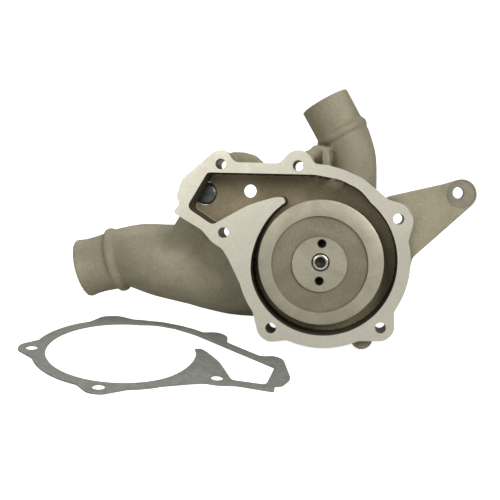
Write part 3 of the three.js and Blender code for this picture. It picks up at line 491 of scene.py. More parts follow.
def inlet_stations(shrink, beads):
    neck = INLET_NECK_RADIUS - shrink
    first = [run_from(INLET_END, INLET_HEADING, -3 if shrink else 0, neck)]
    waist = 0 if shrink else NECK_WAIST
    middle = [
        run_from(INLET_END, INLET_HEADING, 3, neck),
        run_from(INLET_END, INLET_HEADING, 8, neck - waist),
        run_from(INLET_END, INLET_HEADING, 18, neck - waist),
    ]
    if beads:
        middle += bead_stations(INLET_END, INLET_HEADING, INLET_BEAD_DISTANCE, neck, INLET_BEAD)
    return first + middle + [
        run_from(INLET_END, INLET_HEADING, INLET_BEAD_DISTANCE + 6, neck + 0.8),
        (-152, 0.4, 9, 31.3 - shrink, 31.3 - shrink),
        (-129.4, -2.8, 8, 33.8 - shrink, 31 - shrink),
        (-118, -4.5, 6, 34.5 - shrink, 30 - shrink),
        (-103, -9, 2, 33.5 - shrink, 28.5 - shrink),
        (-75, -18, 0, 30 - shrink, 27 - shrink),
        (-40, -10, 0, 39 - shrink, 25 - shrink),
        (-26, -6, 0, 36 - shrink, 20 - shrink),
    ]


def bypass_stations(shrink, beads):
    neck = BYPASS_NECK_RADIUS - shrink
    first = [run_from(BYPASS_END, BYPASS_HEADING, -3 if shrink else 0, neck)]
    middle = [run_from(BYPASS_END, BYPASS_HEADING, 6, neck)]
    if beads:
        middle += bead_stations(BYPASS_END, BYPASS_HEADING, BYPASS_BEAD_DISTANCE, neck, BYPASS_BEAD)
    return first + middle + [
        run_from(BYPASS_END, BYPASS_HEADING, BYPASS_BEAD_DISTANCE + 6, neck + 0.4),
        (20.6, 96, -72, neck + 0.6, neck + 0.6),
        (23.6, 83, -82, neck + 1.0, neck + 1.0),
        (24.2, 66, -90, neck + 0.8, neck + 0.8),
        (24, 36, -90, neck, neck),
    ]


# ---------------------------------------------------------------- finishing
def rounded_casting(obj, voxel, passes):
    """Remeshes a blank and rounds its corners as a casting's are."""
    remesh = obj.modifiers.new("remesh", "REMESH")
    remesh.mode = "VOXEL"
    remesh.voxel_size = voxel
    evaluated(obj)
    smooth = obj.modifiers.new("smooth", "SMOOTH")
    smooth.factor = 0.5
    smooth.iterations = passes
    return evaluated(obj)


def place(obj, name, body, slot, *nodes):
    """Carries a piece into the row's frame and puts it on its body."""
    obj.data.transform(TO_ROW)
    obj.name = name
    obj.data.name = name
    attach(obj, body)
    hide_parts(*nodes)
    return obj


def soften(obj, degrees=32):
    """Smooth shading that keeps edges sharper than the angle."""
    obj.data.shade_smooth()
    obj.data.set_sharp_from_angle(angle=math.radians(degrees))
    return obj


# ---------------------------------------------------------------- housing
def bearing_housing():
    return turned([
        (0, CHAMBER_FRONT),
        (CHAMBER_RADIUS, CHAMBER_FRONT),
        (CHAMBER_RADIUS, CHAMBER_BACK - 8),
        (CHAMBER_RADIUS - 6, CHAMBER_BACK),
        (BEARING_HOUSING_RADIUS + 3, CHAMBER_BACK + 6),
        (BEARING_HOUSING_RADIUS, CHAMBER_BACK + 12),
        (BEARING_HOUSING_RADIUS, HOUSING_END + 4),
        (0, HOUSING_END + 4),
    ])


def chamber_space():
    outer = CHAMBER_RADIUS - CHAMBER_WALL
    return turned([
        (0, VOLUTE_DEPTH - 1),
        (EYE_RADIUS, VOLUTE_DEPTH - 1),
        (EYE_RADIUS, SHELL_BACK),
        (outer, SHELL_BACK + 6),
        (outer, CHAMBER_BACK - 14),
        (SEAL_NOSE_RADIUS + 10, CHAMBER_BACK - 9),
        (SEAL_NOSE_RADIUS, CHAMBER_BACK - 9),
        (SEAL_NOSE_RADIUS, SEAL_NOSE_FRONT),
        (0, SEAL_NOSE_FRONT),
    ])


BEARING_OUTER_RADIUS = 21
BORE_RADIUS = BEARING_OUTER_RADIUS + 0.3
FRONT_BEARING_Y = 84
REAR_BEARING_Y = 101
BEARING_WIDTH = 12
CIRCLIP_FRONT = REAR_BEARING_Y + BEARING_WIDTH + 0.3
CIRCLIP_THICKNESS = 1.6
CIRCLIP_GROOVE_DEPTH = 1.4


def shaft_bore():
    groove = BORE_RADIUS + CIRCLIP_GROOVE_DEPTH
    return turned([
        (0, SEAL_NOSE_FRONT - 2),
        (SEAL_BORE_RADIUS, SEAL_NOSE_FRONT - 2),
        (SEAL_BORE_RADIUS, SEAL_BORE_BACK),
        (12, SEAL_BORE_BACK),
        (12, DRAIN_FRONT),
        (DRAIN_RADIUS, DRAIN_FRONT),
        (DRAIN_RADIUS, FRONT_BEARING_Y - 0.3),
        (BORE_RADIUS, FRONT_BEARING_Y - 0.3),
        (BORE_RADIUS, CIRCLIP_FRONT - 0.3),
        (groove, CIRCLIP_FRONT - 0.3),
        (groove, CIRCLIP_FRONT + CIRCLIP_THICKNESS + 0.3),
        (BORE_RADIUS, CIRCLIP_FRONT + CIRCLIP_THICKNESS + 0.3),
        (BORE_RADIUS, HOUSING_END - 0.8),
        (BORE_RADIUS + 1.8, HOUSING_END + 1),
        (0, HOUSING_END + 1),
    ])


def back_rib(degrees):
    profile = [
        (BEARING_HOUSING_RADIUS - 4, CHAMBER_BACK - 12),
        (CHAMBER_RADIUS - 1, CHAMBER_BACK - 12),
        (BEARING_HOUSING_RADIUS + 1, HOUSING_END - 4),
        (BEARING_HOUSING_RADIUS - 4, HOUSING_END - 4),
    ]
    turn = math.radians(degrees)
    out = np.array([math.cos(turn), 0, math.sin(turn)])
    side = np.array([-math.sin(turn), 0, math.cos(turn)])
    return stack("rib", [
        [tuple(out * r + np.array([0, y, 0]) + side * s) for r, y in profile] for s in (-2.5, 2.5)
    ])


def weep_hole():
    made = bar((0, 0), WEEP_RADIUS, 0, BEARING_HOUSING_RADIUS + 12, 32)
    made.data.transform(Matrix.Rotation(math.radians(-90), 4, "X"))
    made.data.transform(Matrix.Translation((0, FRONT_BEARING_Y - 3.8, 6 - DRAIN_RADIUS)))
    return outward(made)


def make_housing():
    body = plate(flange_outline(), -FACING_STOCK, FLANGE_THICKNESS, "housing_casting")
    join(
        body,
        plate(rounded(spiral(TONGUE_ANGLE, TONGUE_ANGLE + 357, SIDE_WALL)), BLANK_FRONT, SHELL_BACK),
        plate(shell_outline(), BLANK_FRONT, SHELL_BACK),
        plate(skirt_outline(), SHELL_BACK - SKIRT_OVERLAP, SHELL_BACK + SKIRT_DEPTH),
        plate(arm_outline(), ARM_FRONT, ARM_FRONT + ARM_THICKNESS),
        plate(web_outline(), WEB_FRONT, NECK_DEPTH - 3),
        plate(web_rib_outline(), WEB_RIB_FRONT, NECK_DEPTH - 10),
        plate(ear_rib_outline(), WEB_RIB_FRONT, NECK_DEPTH - 10),
        plate(hanger_outline(), HANGER_FRONT, SHELL_BACK + 2),
        bar(FOOT, FOOT_RADIUS, BLANK_FRONT, SHELL_BACK),
        bearing_housing(),
        tube(inlet_stations(0, True)),
        tube(bypass_stations(0, True)),
        *[back_rib(a) for a in BACK_RIB_ANGLES],
        *[bar(hole, BOSS_RADIUS, BLANK_FRONT, BOLT_BOSS_DEPTH) for hole in BOLT_HOLES.values()],
    )
    cut(
        body,
        plate(cavity_outline(), -9, VOLUTE_DEPTH),
        chamber_space(),
        tube(inlet_stations(NECK_WALL, False)),
        tube(bypass_stations(NECK_WALL, False)),
        *[
            bar(hole, BOLT_ACCESS_RADIUS, BOLT_BOSS_DEPTH, BOLT_BOSS_DEPTH + BOLT_ACCESS_DEPTH)
            for hole in BOLT_HOLES.values()
        ],
    )
    rounded_casting(body, VOXEL, SMOOTHING_PASSES)
    cut(
        body,
        plate([(-300, -200), (300, -200), (300, 200), (-300, 200)], -30, 0),
        bar((0, 0), 60, HOUSING_END, HOUSING_END + 20),
        shaft_bore(),
        bar(PLUG_CENTRE, PLUG_HOLE_RADIUS, VOLUTE_DEPTH - 1.5, NECK_DEPTH),
        bar(FLOOR_HOLE, FLOOR_HOLE_RADIUS, 0, NECK_DEPTH - 10),
        bar(LUG_HOLE, LUG_HOLE_RADIUS, 0, NECK_DEPTH),
        bar(LUG_CENTRE, SPOT_FACE_RADIUS, 0, ARM_FRONT + SPOT_FACE_DEPTH),
        weep_hole(),
        *[bar(hole, BOLT_HOLE_RADIUS, -5, BOLT_BOSS_DEPTH + 3) for hole in BOLT_HOLES.values()],
    )
    return body


# ---------------------------------------------------------------- materials
def linear(r, g, b):
    """Linear colour from 0 to 255 display values."""
    values = [c / 255 for c in (r, g, b)]
    return tuple(c / 12.92 if c <= 0.04045 else ((c + 0.055) / 1.055) ** 2.4 for c in values)


class Finish:
    """A principled material with its texture nodes."""

    def __init__(self, name, metallic, roughness, coat=0.0):
        self.material = bpy.data.materials.new(name)
        self.material.use_nodes = True
        self.tree = self.material.node_tree
        self.shader = self.tree.nodes["Principled BSDF"]
        self.shader.inputs["Metallic"].default_value = metallic
        self.shader.inputs["Roughness"].default_value = roughness
        self.shader.inputs["Coat Weight"].default_value = coat
        self.place = self.add("ShaderNodeTexCoord").outputs["Object"]

    def add(self, kind, **values):
        node = self.tree.nodes.new(kind)
        for key, value in values.items():
            setattr(node, key, value)
        return node

    def wire(self, output, target):
        self.tree.links.new(output, target)
        return output

    def noise(self, size_mm, detail=3, roughness=0.55, distortion=0.0, stretch=None):
        node = self.add("ShaderNodeTexNoise")
        node.inputs["Scale"].default_value = 1000 / size_mm
        node.inputs["Detail"].default_value = detail
        node.inputs["Roughness"].default_value = roughness
        node.inputs["Distortion"].default_value = distortion
        source = self.place
        if stretch:
            mapping = self.add("ShaderNodeMapping")
            mapping.inputs["Scale"].default_value = stretch
            self.wire(source, mapping.inputs["Vector"])
            source = mapping.outputs["Vector"]
        self.wire(source, node.inputs["Vector"])
        return node.outputs["Fac"]

    def cells(self, size_mm):
        node = self.add("ShaderNodeTexVoronoi")
        node.inputs["Scale"].default_value = 1000 / size_mm
        self.wire(self.place, node.inputs["Vector"])
        return node.outputs["Distance"]

    def ramp(self, value, low, high, first=0.0, second=1.0):
        node = self.add("ShaderNodeMapRange")
        node.inputs["From Min"].default_value = low
        node.inputs["From Max"].default_value = high
        node.inputs["To Min"].default_value = first
        node.inputs["To Max"].default_value = second
        self.wire(value, node.inputs["Value"])
        return node.outputs["Result"]

    def mix(self, factor, first, second, blend="MIX"):
        node = self.add("ShaderNodeMix", data_type="RGBA", blend_type=blend)
        for value, key in ((factor, 0), (first, 6), (second, 7)):
            if isinstance(value, bpy.types.NodeSocket):
                self.wire(value, node.inputs[key])
            elif isinstance(value, tuple):
                node.inputs[key].default_value = (*value, 1)
            else:
                node.inputs[key].default_value = value
        return node.outputs[2]

    def colour(self, output):
        self.wire(output, self.shader.inputs["Base Color"])

    def rough(self, output):
        self.wire(output, self.shader.inputs["Roughness"])

    def metal(self, output):
        self.wire(output, self.shader.inputs["Metallic"])

    def bumps(self, *layers):
        """Layers of (height, depth in mm), the coarsest first."""
        normal = None
        for height, depth_mm in layers:
            node = self.add("ShaderNodeBump")
            node.inputs["Distance"].default_value = depth_mm / 1000
            self.wire(height, node.inputs["Height"])
            if normal is not None:
                self.wire(normal, node.inputs["Normal"])
            normal = node.outputs["Normal"]
        self.wire(normal, self.shader.inputs["Normal"])

    def painted_crevice_shade(self, reach_mm, darkest):
        """Painted shade that gathers in corners: 1 in the open."""
        node = self.add("ShaderNodeAmbientOcclusion", samples=8)
        node.inputs["Distance"].default_value = reach_mm / 1000
        return self.ramp(node.outputs["AO"], 0.25, 0.95, darkest, 1.0)


def sand_cast(name, dark, light, metallic=0.35, roughness=0.62, darkest=0.55, depth=0.28):
    """Blasted sand casting: fine grain over broad mottling, with painted shade darkening its corners and recesses.
    """
    finish = Finish(name, metallic, roughness)
    grain = finish.noise(1.1, 3, 0.65)
    sand = finish.noise(0.45, 2, 0.5)
    broad = finish.noise(34, 4, 0.55, 0.6)
    lumps = finish.noise(4.5, 3, 0.5)
    tint = finish.mix(finish.ramp(grain, 0.33, 0.68), dark, light)
    patch = finish.mix(finish.ramp(broad, 0.38, 0.62), (0.86, 0.84, 0.80), (1.08, 1.07, 1.04))
    tint = finish.mix(1.0, tint, patch, "MULTIPLY")
    specks = finish.ramp(finish.cells(3.2), 0.04, 0.13, 0.72, 1.0)
    tint = finish.mix(1.0, tint, specks, "MULTIPLY")
    # Multiplies in painted shade: corners and recesses darken by how enclosed they are.
    tint = finish.mix(1.0, tint, finish.painted_crevice_shade(7, darkest), "MULTIPLY")
    finish.colour(tint)
    finish.rough(finish.ramp(grain, 0.3, 0.7, roughness - 0.08, roughness + 0.12))
    finish.bumps((lumps, depth * 1.2), (grain, depth), (sand, depth * 0.4))
    return finish.material


def machined(name, dark, light, roughness=0.34, metallic=0.85, grain_mm=0.35):
    """Faced metal: faint tool marks, stains and a soft sheen."""
    finish = Finish(name, metallic, roughness)
    stain = finish.noise(26, 4, 0.6, 0.8)
    speck = finish.noise(1.6, 3, 0.6)
    marks = finish.noise(grain_mm, 2, 0.5, 0.0, (1.0, 1.0, 0.12))
    tint = finish.mix(finish.ramp(stain, 0.35, 0.65), dark, light)
    tint = finish.mix(1.0, tint, finish.ramp(speck, 0.3, 0.6, 0.93, 1.02), "MULTIPLY")
    finish.colour(tint)
    finish.rough(finish.ramp(stain, 0.3, 0.7, roughness + 0.06, roughness - 0.04))
    finish.bumps((speck, 0.02), (marks, 0.012))
    return finish.material


def polished(name, dark, light, roughness=0.22, metallic=1.0):
    finish = Finish(name, metallic, roughness)
    film = finish.noise(5, 3, 0.55, 0.5)
    lines = finish.noise(0.3, 2, 0.5, 0.0, (1.0, 0.1, 1.0))
    finish.colour(finish.mix(finish.ramp(film, 0.3, 0.7), dark, light))
    finish.rough(finish.ramp(film, 0.3, 0.7, roughness - 0.04, roughness + 0.08))
    finish.bumps((lines, 0.01))
    return finish.material


def moulded(name, dark, light, roughness, grain_mm=0.6, depth=0.05):
    finish = Finish(name, 0.0, roughness)
    grain = finish.noise(grain_mm, 3, 0.6)
    finish.colour(finish.mix(finish.ramp(grain, 0.35, 0.65), dark, light))
    finish.rough(finish.ramp(grain, 0.3, 0.7, roughness - 0.05, roughness + 0.08))
    finish.bumps((grain, depth))
    return finish.material


def fibre_sheet(name):
    """Compressed-fibre gasket sheet: short fibres and soft mottling."""
    finish = Finish(name, 0.0, 0.82)
    mottle = finish.noise(5, 4, 0.6, 0.5)
    fibres = finish.noise(0.8, 3, 0.6, 1.5, (1.0, 0.35, 1.0))
    strands = finish.noise(0.8, 3, 0.6, 1.5, (0.35, 1.0, 1.0))
    tint = finish.mix(finish.ramp(mottle, 0.35, 0.65), linear(118, 120, 112), linear(134, 136, 127))
    tint = finish.mix(1.0, tint, finish.ramp(fibres, 0.3, 0.7, 0.88, 1.08), "MULTIPLY")
    tint = finish.mix(1.0, tint, finish.ramp(strands, 0.3, 0.7, 0.92, 1.06), "MULTIPLY")
    finish.colour(tint)
    finish.bumps((mottle, 0.03), (fibres, 0.05), (strands, 0.04))
    return finish.material


FINISHES = {
    "casting": sand_cast("casting", linear(140, 133, 113), linear(166, 160, 138)),
    # Lighter, browner copy of the casting for the cavity. The browner tint is the floor's own, the extra lightness
    # is painted light, and its stronger corner darkening is painted shade.
    "casting_inside": sand_cast(
        "casting_inside", linear(148, 136, 110), linear(180, 168, 139), 0.3, 0.66, 0.3
    ),
    # Darker copy of the casting for the volute's side walls: painted shade.
    "casting_wall_painted_shade": sand_cast(
        "casting_wall_painted_shade", linear(70, 63, 50), linear(96, 88, 72), 0.2, 0.7, 0.25
    ),
    "faced": machined("faced", linear(226, 221, 202), linear(238, 234, 217), 0.34, 0.85),
    "bored": machined("bored", linear(128, 122, 106), linear(156, 150, 132), 0.42, 0.7),
    "impeller_cast": sand_cast(
        "impeller_cast", linear(118, 111, 94), linear(146, 139, 120), 0.35, 0.64, 0.6, 0.22
    ),
    "impeller_faced": machined("impeller_faced", linear(160, 153, 134), linear(178, 172, 153), 0.44, 0.55),
    # Near-black finish laid in holes and drillings: painted shade.
    "hole_painted_shade": machined("hole_painted_shade", linear(46, 43, 36), linear(66, 62, 53), 0.55, 0.3),
    "hub_iron": machined("hub_iron", linear(150, 146, 134), linear(178, 174, 160), 0.36, 0.85),
    "plug_steel": polished("plug_steel", linear(104, 108, 104), linear(134, 138, 132), 0.3, 0.9),
    "shaft_steel": polished("shaft_steel", linear(190, 186, 172), linear(210, 207, 195), 0.24, 0.9),
    "dark_steel": polished("dark_steel", linear(86, 88, 90), linear(110, 112, 114), 0.34, 0.95),
    "cage_brass": polished("cage_brass", linear(176, 146, 84), linear(200, 170, 104), 0.3),
    "bearing_steel": polished("bearing_steel", linear(196, 198, 200), linear(216, 218, 220), 0.14),
    "seal_brass": polished("seal_brass", linear(170, 140, 78), linear(194, 164, 98), 0.3),
    "black_rubber": moulded("black_rubber", linear(26, 26, 26), linear(40, 40, 40), 0.7),
    "seal_ceramic": moulded("seal_ceramic", linear(226, 222, 212), linear(238, 235, 226), 0.25, 0.8, 0.01),
    "seal_carbon": moulded("seal_carbon", linear(36, 37, 39), linear(54, 55, 57), 0.42, 0.4, 0.02),
    "spring_steel": polished("spring_steel", linear(176, 178, 182), linear(200, 202, 206), 0.2),
    "gasket_fibre": fibre_sheet("gasket_fibre"),
}


def paint(obj, *names):
    obj.data.materials.clear()
    for name in names:
        obj.data.materials.append(FINISHES[name])
    return obj


def face_data(mesh):
    """Face centres and normals, in the frame that the mesh is in."""
    count = len(mesh.polygons)
    centre, normal = np.empty(count * 3), np.empty(count * 3)
    mesh.polygons.foreach_get("center", centre)
    mesh.polygons.foreach_get("normal", normal)
    return centre.reshape(-1, 3), normal.reshape(-1, 3)


def assign(obj, index):
    obj.data.polygons.foreach_set("material_index", index.astype(np.int32))
    obj.data.update()


def inside_outline(x, z, outline):
    """Even-odd test of many points against one polygon."""
    inside = np.zeros(len(x), bool)
    for (x0, z0), (x1, z1) in zip(outline, outline[1:] + outline[:1]):
        if z0 == z1:
            continue
        crosses = (z0 > z) != (z1 > z)
        inside ^= crosses & (x < (x1 - x0) * (z - z0) / (z1 - z0) + x0)
    return inside


def near_axis(centre, at, radius):
    return np.hypot(centre[:, 0] - at[0], centre[:, 2] - at[1]) < radius


def housing_regions(obj):
    """0 as cast, 1 cast inside (a lighter, browner copy: partly painted light), 2 faced, 3 bored, 4 cast walls of
    the volute (a darker copy: painted shade).
    """
    centre, normal = face_data(obj.data)
    y = centre[:, 1]
    index = np.zeros(len(y), int)
    pocket = inside_outline(centre[:, 0], centre[:, 2], cavity_outline())
    grown = pocket.copy()
    for dx, dz in ((1.5, 0), (-1.5, 0), (0, 1.5), (0, -1.5)):
        grown |= inside_outline(centre[:, 0] + dx, centre[:, 2] + dz, cavity_outline())
    # The cavity floor takes the lighter inside casting: partly the floor's own browner tone, partly painted light.
    index[grown & (y < VOLUTE_DEPTH + 2)] = 1
    radius = np.hypot(centre[:, 0], centre[:, 2])
    index[(radius < CHAMBER_RADIUS - 3) & (y > VOLUTE_DEPTH) & (y < CHAMBER_BACK - 6)] = 1
    index[(radius < BORE_RADIUS + 3) & (y > SEAL_NOSE_FRONT - 1)] = 3
    index[(radius < BEARING_HOUSING_RADIUS) & (y > HOUSING_END - 0.05)] = 3
    for hole in BOLT_HOLES.values():
        index[near_axis(centre, hole, BOLT_HOLE_RADIUS + 0.05)] = 3
    index[near_axis(centre, LUG_HOLE, LUG_HOLE_RADIUS + 0.05)] = 3
    # The plug hole's wall takes the inside casting, not the bored finish, so that its edge reads dark with no
    # bright line; its lowest part gets the painted wall shade.
    index[near_axis(centre, PLUG_CENTRE, PLUG_HOLE_RADIUS + 0.05) & (y > VOLUTE_DEPTH - 1)] = 1
    index[near_axis(centre, FLOOR_HOLE, FLOOR_HOLE_RADIUS + 0.05)] = 3
    spot_face = abs(y - ARM_FRONT - SPOT_FACE_DEPTH) < 0.03
    index[near_axis(centre, LUG_CENTRE, SPOT_FACE_RADIUS) & spot_face] = 3
    # The volute's side walls take the darker copy of the casting: painted shade.
    index[(index == 1) & (abs(normal[:, 1]) < 0.6) & (y < VOLUTE_DEPTH - 0.5)] = 4
    index[(normal[:, 1] < -0.99) & (abs(y) < 0.02)] = 2
    assign(obj, index)


housing = make_housing()
paint(housing, "casting", "casting_inside", "faced", "bored", "casting_wall_painted_shade")
housing_regions(housing)
soften(place(housing, "housing_casting", "pump_body", "cast_body", "pump_housing"))

# ---------------------------------------------------------------- core plug
PLUG_RADIUS = PLUG_HOLE_RADIUS - 0.3


def make_plug():
    front = VOLUTE_DEPTH + 0.8
    dish = [(PLUG_RADIUS * share, front + 1.3 * share**3) for share in np.linspace(0, 0.9, 10)]
    lip = [
        (PLUG_RADIUS - 0.5, front + 1.2), (PLUG_RADIUS - 0.1, front + 1.7), (PLUG_RADIUS, front + 2.2),
    ]
    return turned([
        *dish, *lip, (PLUG_RADIUS, SHELL_BACK - 0.6), (PLUG_RADIUS - 1.2, SHELL_BACK - 0.6),
        (PLUG_RADIUS - 1.2, front + 2.4), (0, front + 1.2),
    ], 96)


plug = make_plug()
plug.data.transform(Matrix.Translation((PLUG_CENTRE[0], 0, PLUG_CENTRE[1])))
paint(plug, "plug_steel")
soften(place(plug, "core_plug_cap", "pump_body", "plug_steel", "core_plug"))

# ---------------------------------------------------------------- impeller
TONGUE_CLEARANCE = 5.1
IMPELLER_RADIUS = VOLUTE_RADIUS - TONGUE_CLEARANCE
IMPELLER_FACE = 1.0
IMPELLER_DISC = 6
IMPELLER_BACK = IMPELLER_FACE + IMPELLER_DISC
VANE_BACK = VOLUTE_DEPTH - 2
IMPELLER_RIM = 11.4
IMPELLER_HUB_FACE_RADIUS = 21.6
IMPELLER_HUB_RADIUS = 18
IMPELLER_HUB_END = 46
IMPELLER_RECESS = 1.6
CASTING_SHIFT = (-0.8, -1.6)
VANE_COUNT = 6
VANE_THICKNESS = 4
VANE_SWEEP = 55
PULLER_OFFSET = 14.7
PULLER_ANGLES = (85, 265)
PULLER_RADIUS = 3.3
PULLER_DEPTH = 12
SHAFT_TIP_RADIUS = 6.2
SHAFT_TIP_END = 34
SEAL_SEAT_RADIUS = 8
SEAT_CUP_RADIUS = 15.9
SEAT_CUP_FRONT = 38.6
GAP = 0.3


def vane(start):
    inner, outer = IMPELLER_HUB_RADIUS - 2, IMPELLER_RADIUS - 1
    sides = []
    for way in (-1, 1):
        side = []
        for share in np.linspace(0, 1, 25):
            radius = inner + (outer - inner) * share
            half = math.degrees(VANE_THICKNESS / 2 / radius) * 1.25
            side.append(polar(radius, start - VANE_SWEEP * share + way * half))
        sides.append(side)
    return plate(sides[0] + sides[1][::-1], IMPELLER_BACK - 1, VANE_BACK)


def make_impeller():
    body = turned([
        (0, IMPELLER_FACE),
        (IMPELLER_RADIUS - 0.9, IMPELLER_FACE),
        (IMPELLER_RADIUS - 0.25, IMPELLER_FACE + 0.3),
        (IMPELLER_RADIUS, IMPELLER_FACE + 1),
        (IMPELLER_RADIUS, IMPELLER_BACK - 0.4),
        (IMPELLER_RADIUS - 0.5, IMPELLER_BACK),
        (IMPELLER_HUB_RADIUS + 3, IMPELLER_BACK),
        (IMPELLER_HUB_RADIUS + 1, IMPELLER_BACK + 1),
        (IMPELLER_HUB_RADIUS, IMPELLER_BACK + 4),
        (IMPELLER_HUB_RADIUS, IMPELLER_HUB_END - 1),
        (IMPELLER_HUB_RADIUS - 1, IMPELLER_HUB_END),
        (0, IMPELLER_HUB_END),
    ], 160)
    join(body, *[vane(360 * i / VANE_COUNT) for i in range(VANE_COUNT)])
    floor_y = IMPELLER_FACE + IMPELLER_RECESS
    inner = IMPELLER_HUB_FACE_RADIUS
    outer = IMPELLER_RADIUS - IMPELLER_RIM
    recess = turned([
        (inner - 0.25, 0), (outer + 0.25, 0), (outer, floor_y - 0.5), (outer - 0.6, floor_y),
        (inner + 0.6, floor_y), (inner, floor_y - 0.5), (inner - 0.25, 0),
    ], 160)
    recess.data.transform(Matrix.Translation((CASTING_SHIFT[0], 0, CASTING_SHIFT[1])))
    bore = turned([
        (0, 0),
        (SHAFT_TIP_RADIUS + GAP + 1.6, 0),
        (SHAFT_TIP_RADIUS + GAP + 0.5, IMPELLER_FACE + 0.5),
        (SHAFT_TIP_RADIUS + GAP, IMPELLER_FACE + 1.2),
        (SHAFT_TIP_RADIUS + GAP, SHAFT_TIP_END - GAP),
        (SEAL_SEAT_RADIUS + GAP, SHAFT_TIP_END - GAP),
        (SEAL_SEAT_RADIUS + GAP, SEAT_CUP_FRONT - GAP),
        (SEAT_CUP_RADIUS + GAP, SEAT_CUP_FRONT - GAP),
        (SEAT_CUP_RADIUS + GAP, IMPELLER_HUB_END + 1),
        (0, IMPELLER_HUB_END + 1),
    ], 96)
    holes = []
    for angle in PULLER_ANGLES:
        hole = turned([
            (0, 0), (PULLER_RADIUS + 1.1, 0), (PULLER_RADIUS + 0.1, IMPELLER_FACE + 0.4),
            (PULLER_RADIUS - 0.2, IMPELLER_FACE + 0.9),
            (PULLER_RADIUS - 0.2, IMPELLER_FACE + PULLER_DEPTH - 1.5),
            (0, IMPELLER_FACE + PULLER_DEPTH),
        ], 48)
        x, z = polar(PULLER_OFFSET, angle)
        hole.data.transform(Matrix.Translation((x, 0, z)))
        holes.append(hole)
    return cut(body, recess, bore, *holes)


impeller = make_impeller()
paint(impeller, "impeller_cast", "impeller_faced", "bored", "hole_painted_shade")
centre, normal = face_data(impeller.data)
regions = np.zeros(len(centre), int)
regions[(centre[:, 1] < IMPELLER_FACE + 0.02) & (normal[:, 1] < -0.9)] = 1
rim = np.hypot(centre[:, 0], centre[:, 2])
regions[(rim > IMPELLER_RADIUS - 1.2) & (centre[:, 1] < IMPELLER_BACK)] = 1
regions[(rim < SEAT_CUP_RADIUS + 1) & (centre[:, 1] > IMPELLER_FACE + 0.02)] = 2
# Puller holes and the shaft bore take the near-black finish: painted shade.
for angle in PULLER_ANGLES:
    hole = near_axis(centre, polar(PULLER_OFFSET, angle), PULLER_RADIUS + 0.05)
    regions[hole & (centre[:, 1] > IMPELLER_FACE + 0.8)] = 3
regions[(rim < SHAFT_TIP_RADIUS + GAP + 0.6) & (centre[:, 1] > IMPELLER_FACE + 0.02)] = 3
assign(impeller, regions)
soften(place(impeller, "impeller_wheel", "rotor", "impeller_iron", "impeller"))

# ---------------------------------------------------------------- shaft and hub
HUB_JOURNAL_RADIUS = 9
HUB_RADIUS = 48.2
HUB_THICKNESS = 7.2
HUB_BOSS_RADIUS = 16
HUB_END = 125
BEARING_BORE_RADIUS = 10
COLLAR_RADIUS = 12
COLLAR_FRONT = 79.5
CENTRE_DRILL_RADIUS = 4
HUB_SCREW_RADIUS = 4
HUB_SCREW_PITCH_RADIUS = 34
HUB_SCREW_COUNT = 4


def make_shaft():
    tip = SHAFT_TIP_RADIUS
    journal = BEARING_BORE_RADIUS - GAP
    hub_end = HUB_JOURNAL_RADIUS - GAP
    rear = REAR_BEARING_Y + BEARING_WIDTH + GAP
    face = IMPELLER_FACE
    return turned([
        (0, face + 7),
        (1.2, face + 6.2),
        (3.2, face + 5.5),
        (3.3, face + 1.6),
        (CENTRE_DRILL_RADIUS, face + 0.5),
        (CENTRE_DRILL_RADIUS + 0.3, face),
        (tip - 0.9, face),
        (tip - 0.25, face + 0.3),
        (tip, face + 1),
        (tip, SHAFT_TIP_END),
        (SEAL_SEAT_RADIUS - 0.3, SHAFT_TIP_END),
        (SEAL_SEAT_RADIUS, SHAFT_TIP_END + 0.3),
        (SEAL_SEAT_RADIUS, COLLAR_FRONT),
        (COLLAR_RADIUS - 0.4, COLLAR_FRONT),
        (COLLAR_RADIUS, COLLAR_FRONT + 0.4),
        (COLLAR_RADIUS, FRONT_BEARING_Y - GAP),
        (journal, FRONT_BEARING_Y - GAP),
        (journal, rear),
        (hub_end, rear),
        (hub_end, HUB_END - 1.6),
        (hub_end - 1, HUB_END - 0.6),
        (CENTRE_DRILL_RADIUS, HUB_END - 0.6),
        (CENTRE_DRILL_RADIUS - 0.8, HUB_END - 1.5),
        (CENTRE_DRILL_RADIUS - 0.8, HUB_END - 4.5),
        (0, HUB_END - 6.5),
    ], 96)


def make_hub():
    boss_front = REAR_BEARING_Y + BEARING_WIDTH + GAP
    flange_front = HUB_END - HUB_THICKNESS
    shell = turned([
        (HUB_JOURNAL_RADIUS, boss_front),
        (HUB_BOSS_RADIUS - 3.6, boss_front),
        (HUB_BOSS_RADIUS - 3, boss_front + 0.6),
        (HUB_BOSS_RADIUS - 3, flange_front - 1),
        (HUB_BOSS_RADIUS - 2, flange_front),
        (HUB_RADIUS - 0.8, flange_front),
        (HUB_RADIUS, flange_front + 0.8),
        (HUB_RADIUS, HUB_END - 0.8),
        (HUB_RADIUS - 0.8, HUB_END),
        (HUB_BOSS_RADIUS + 4.6, HUB_END),
        (HUB_BOSS_RADIUS + 4, HUB_END - 0.6),
        (HUB_BOSS_RADIUS + 3.4, HUB_END - 2),
        (HUB_JOURNAL_RADIUS + 0.6, HUB_END - 2),
        (HUB_JOURNAL_RADIUS, HUB_END - 2.6),
        (HUB_JOURNAL_RADIUS, boss_front),
    ], 160)
    step = 360 // HUB_SCREW_COUNT
    places = [polar(HUB_SCREW_PITCH_RADIUS, 45 + step * i) for i in range(HUB_SCREW_COUNT)]
    holes = [bar(place, HUB_SCREW_RADIUS, HUB_END - 20, HUB_END + 1, 48) for place in places]
    return cut(shell, *holes)


shaft = make_shaft()
paint(shaft, "shaft_steel", "hole_painted_shade")
centre, normal = face_data(shaft.data)
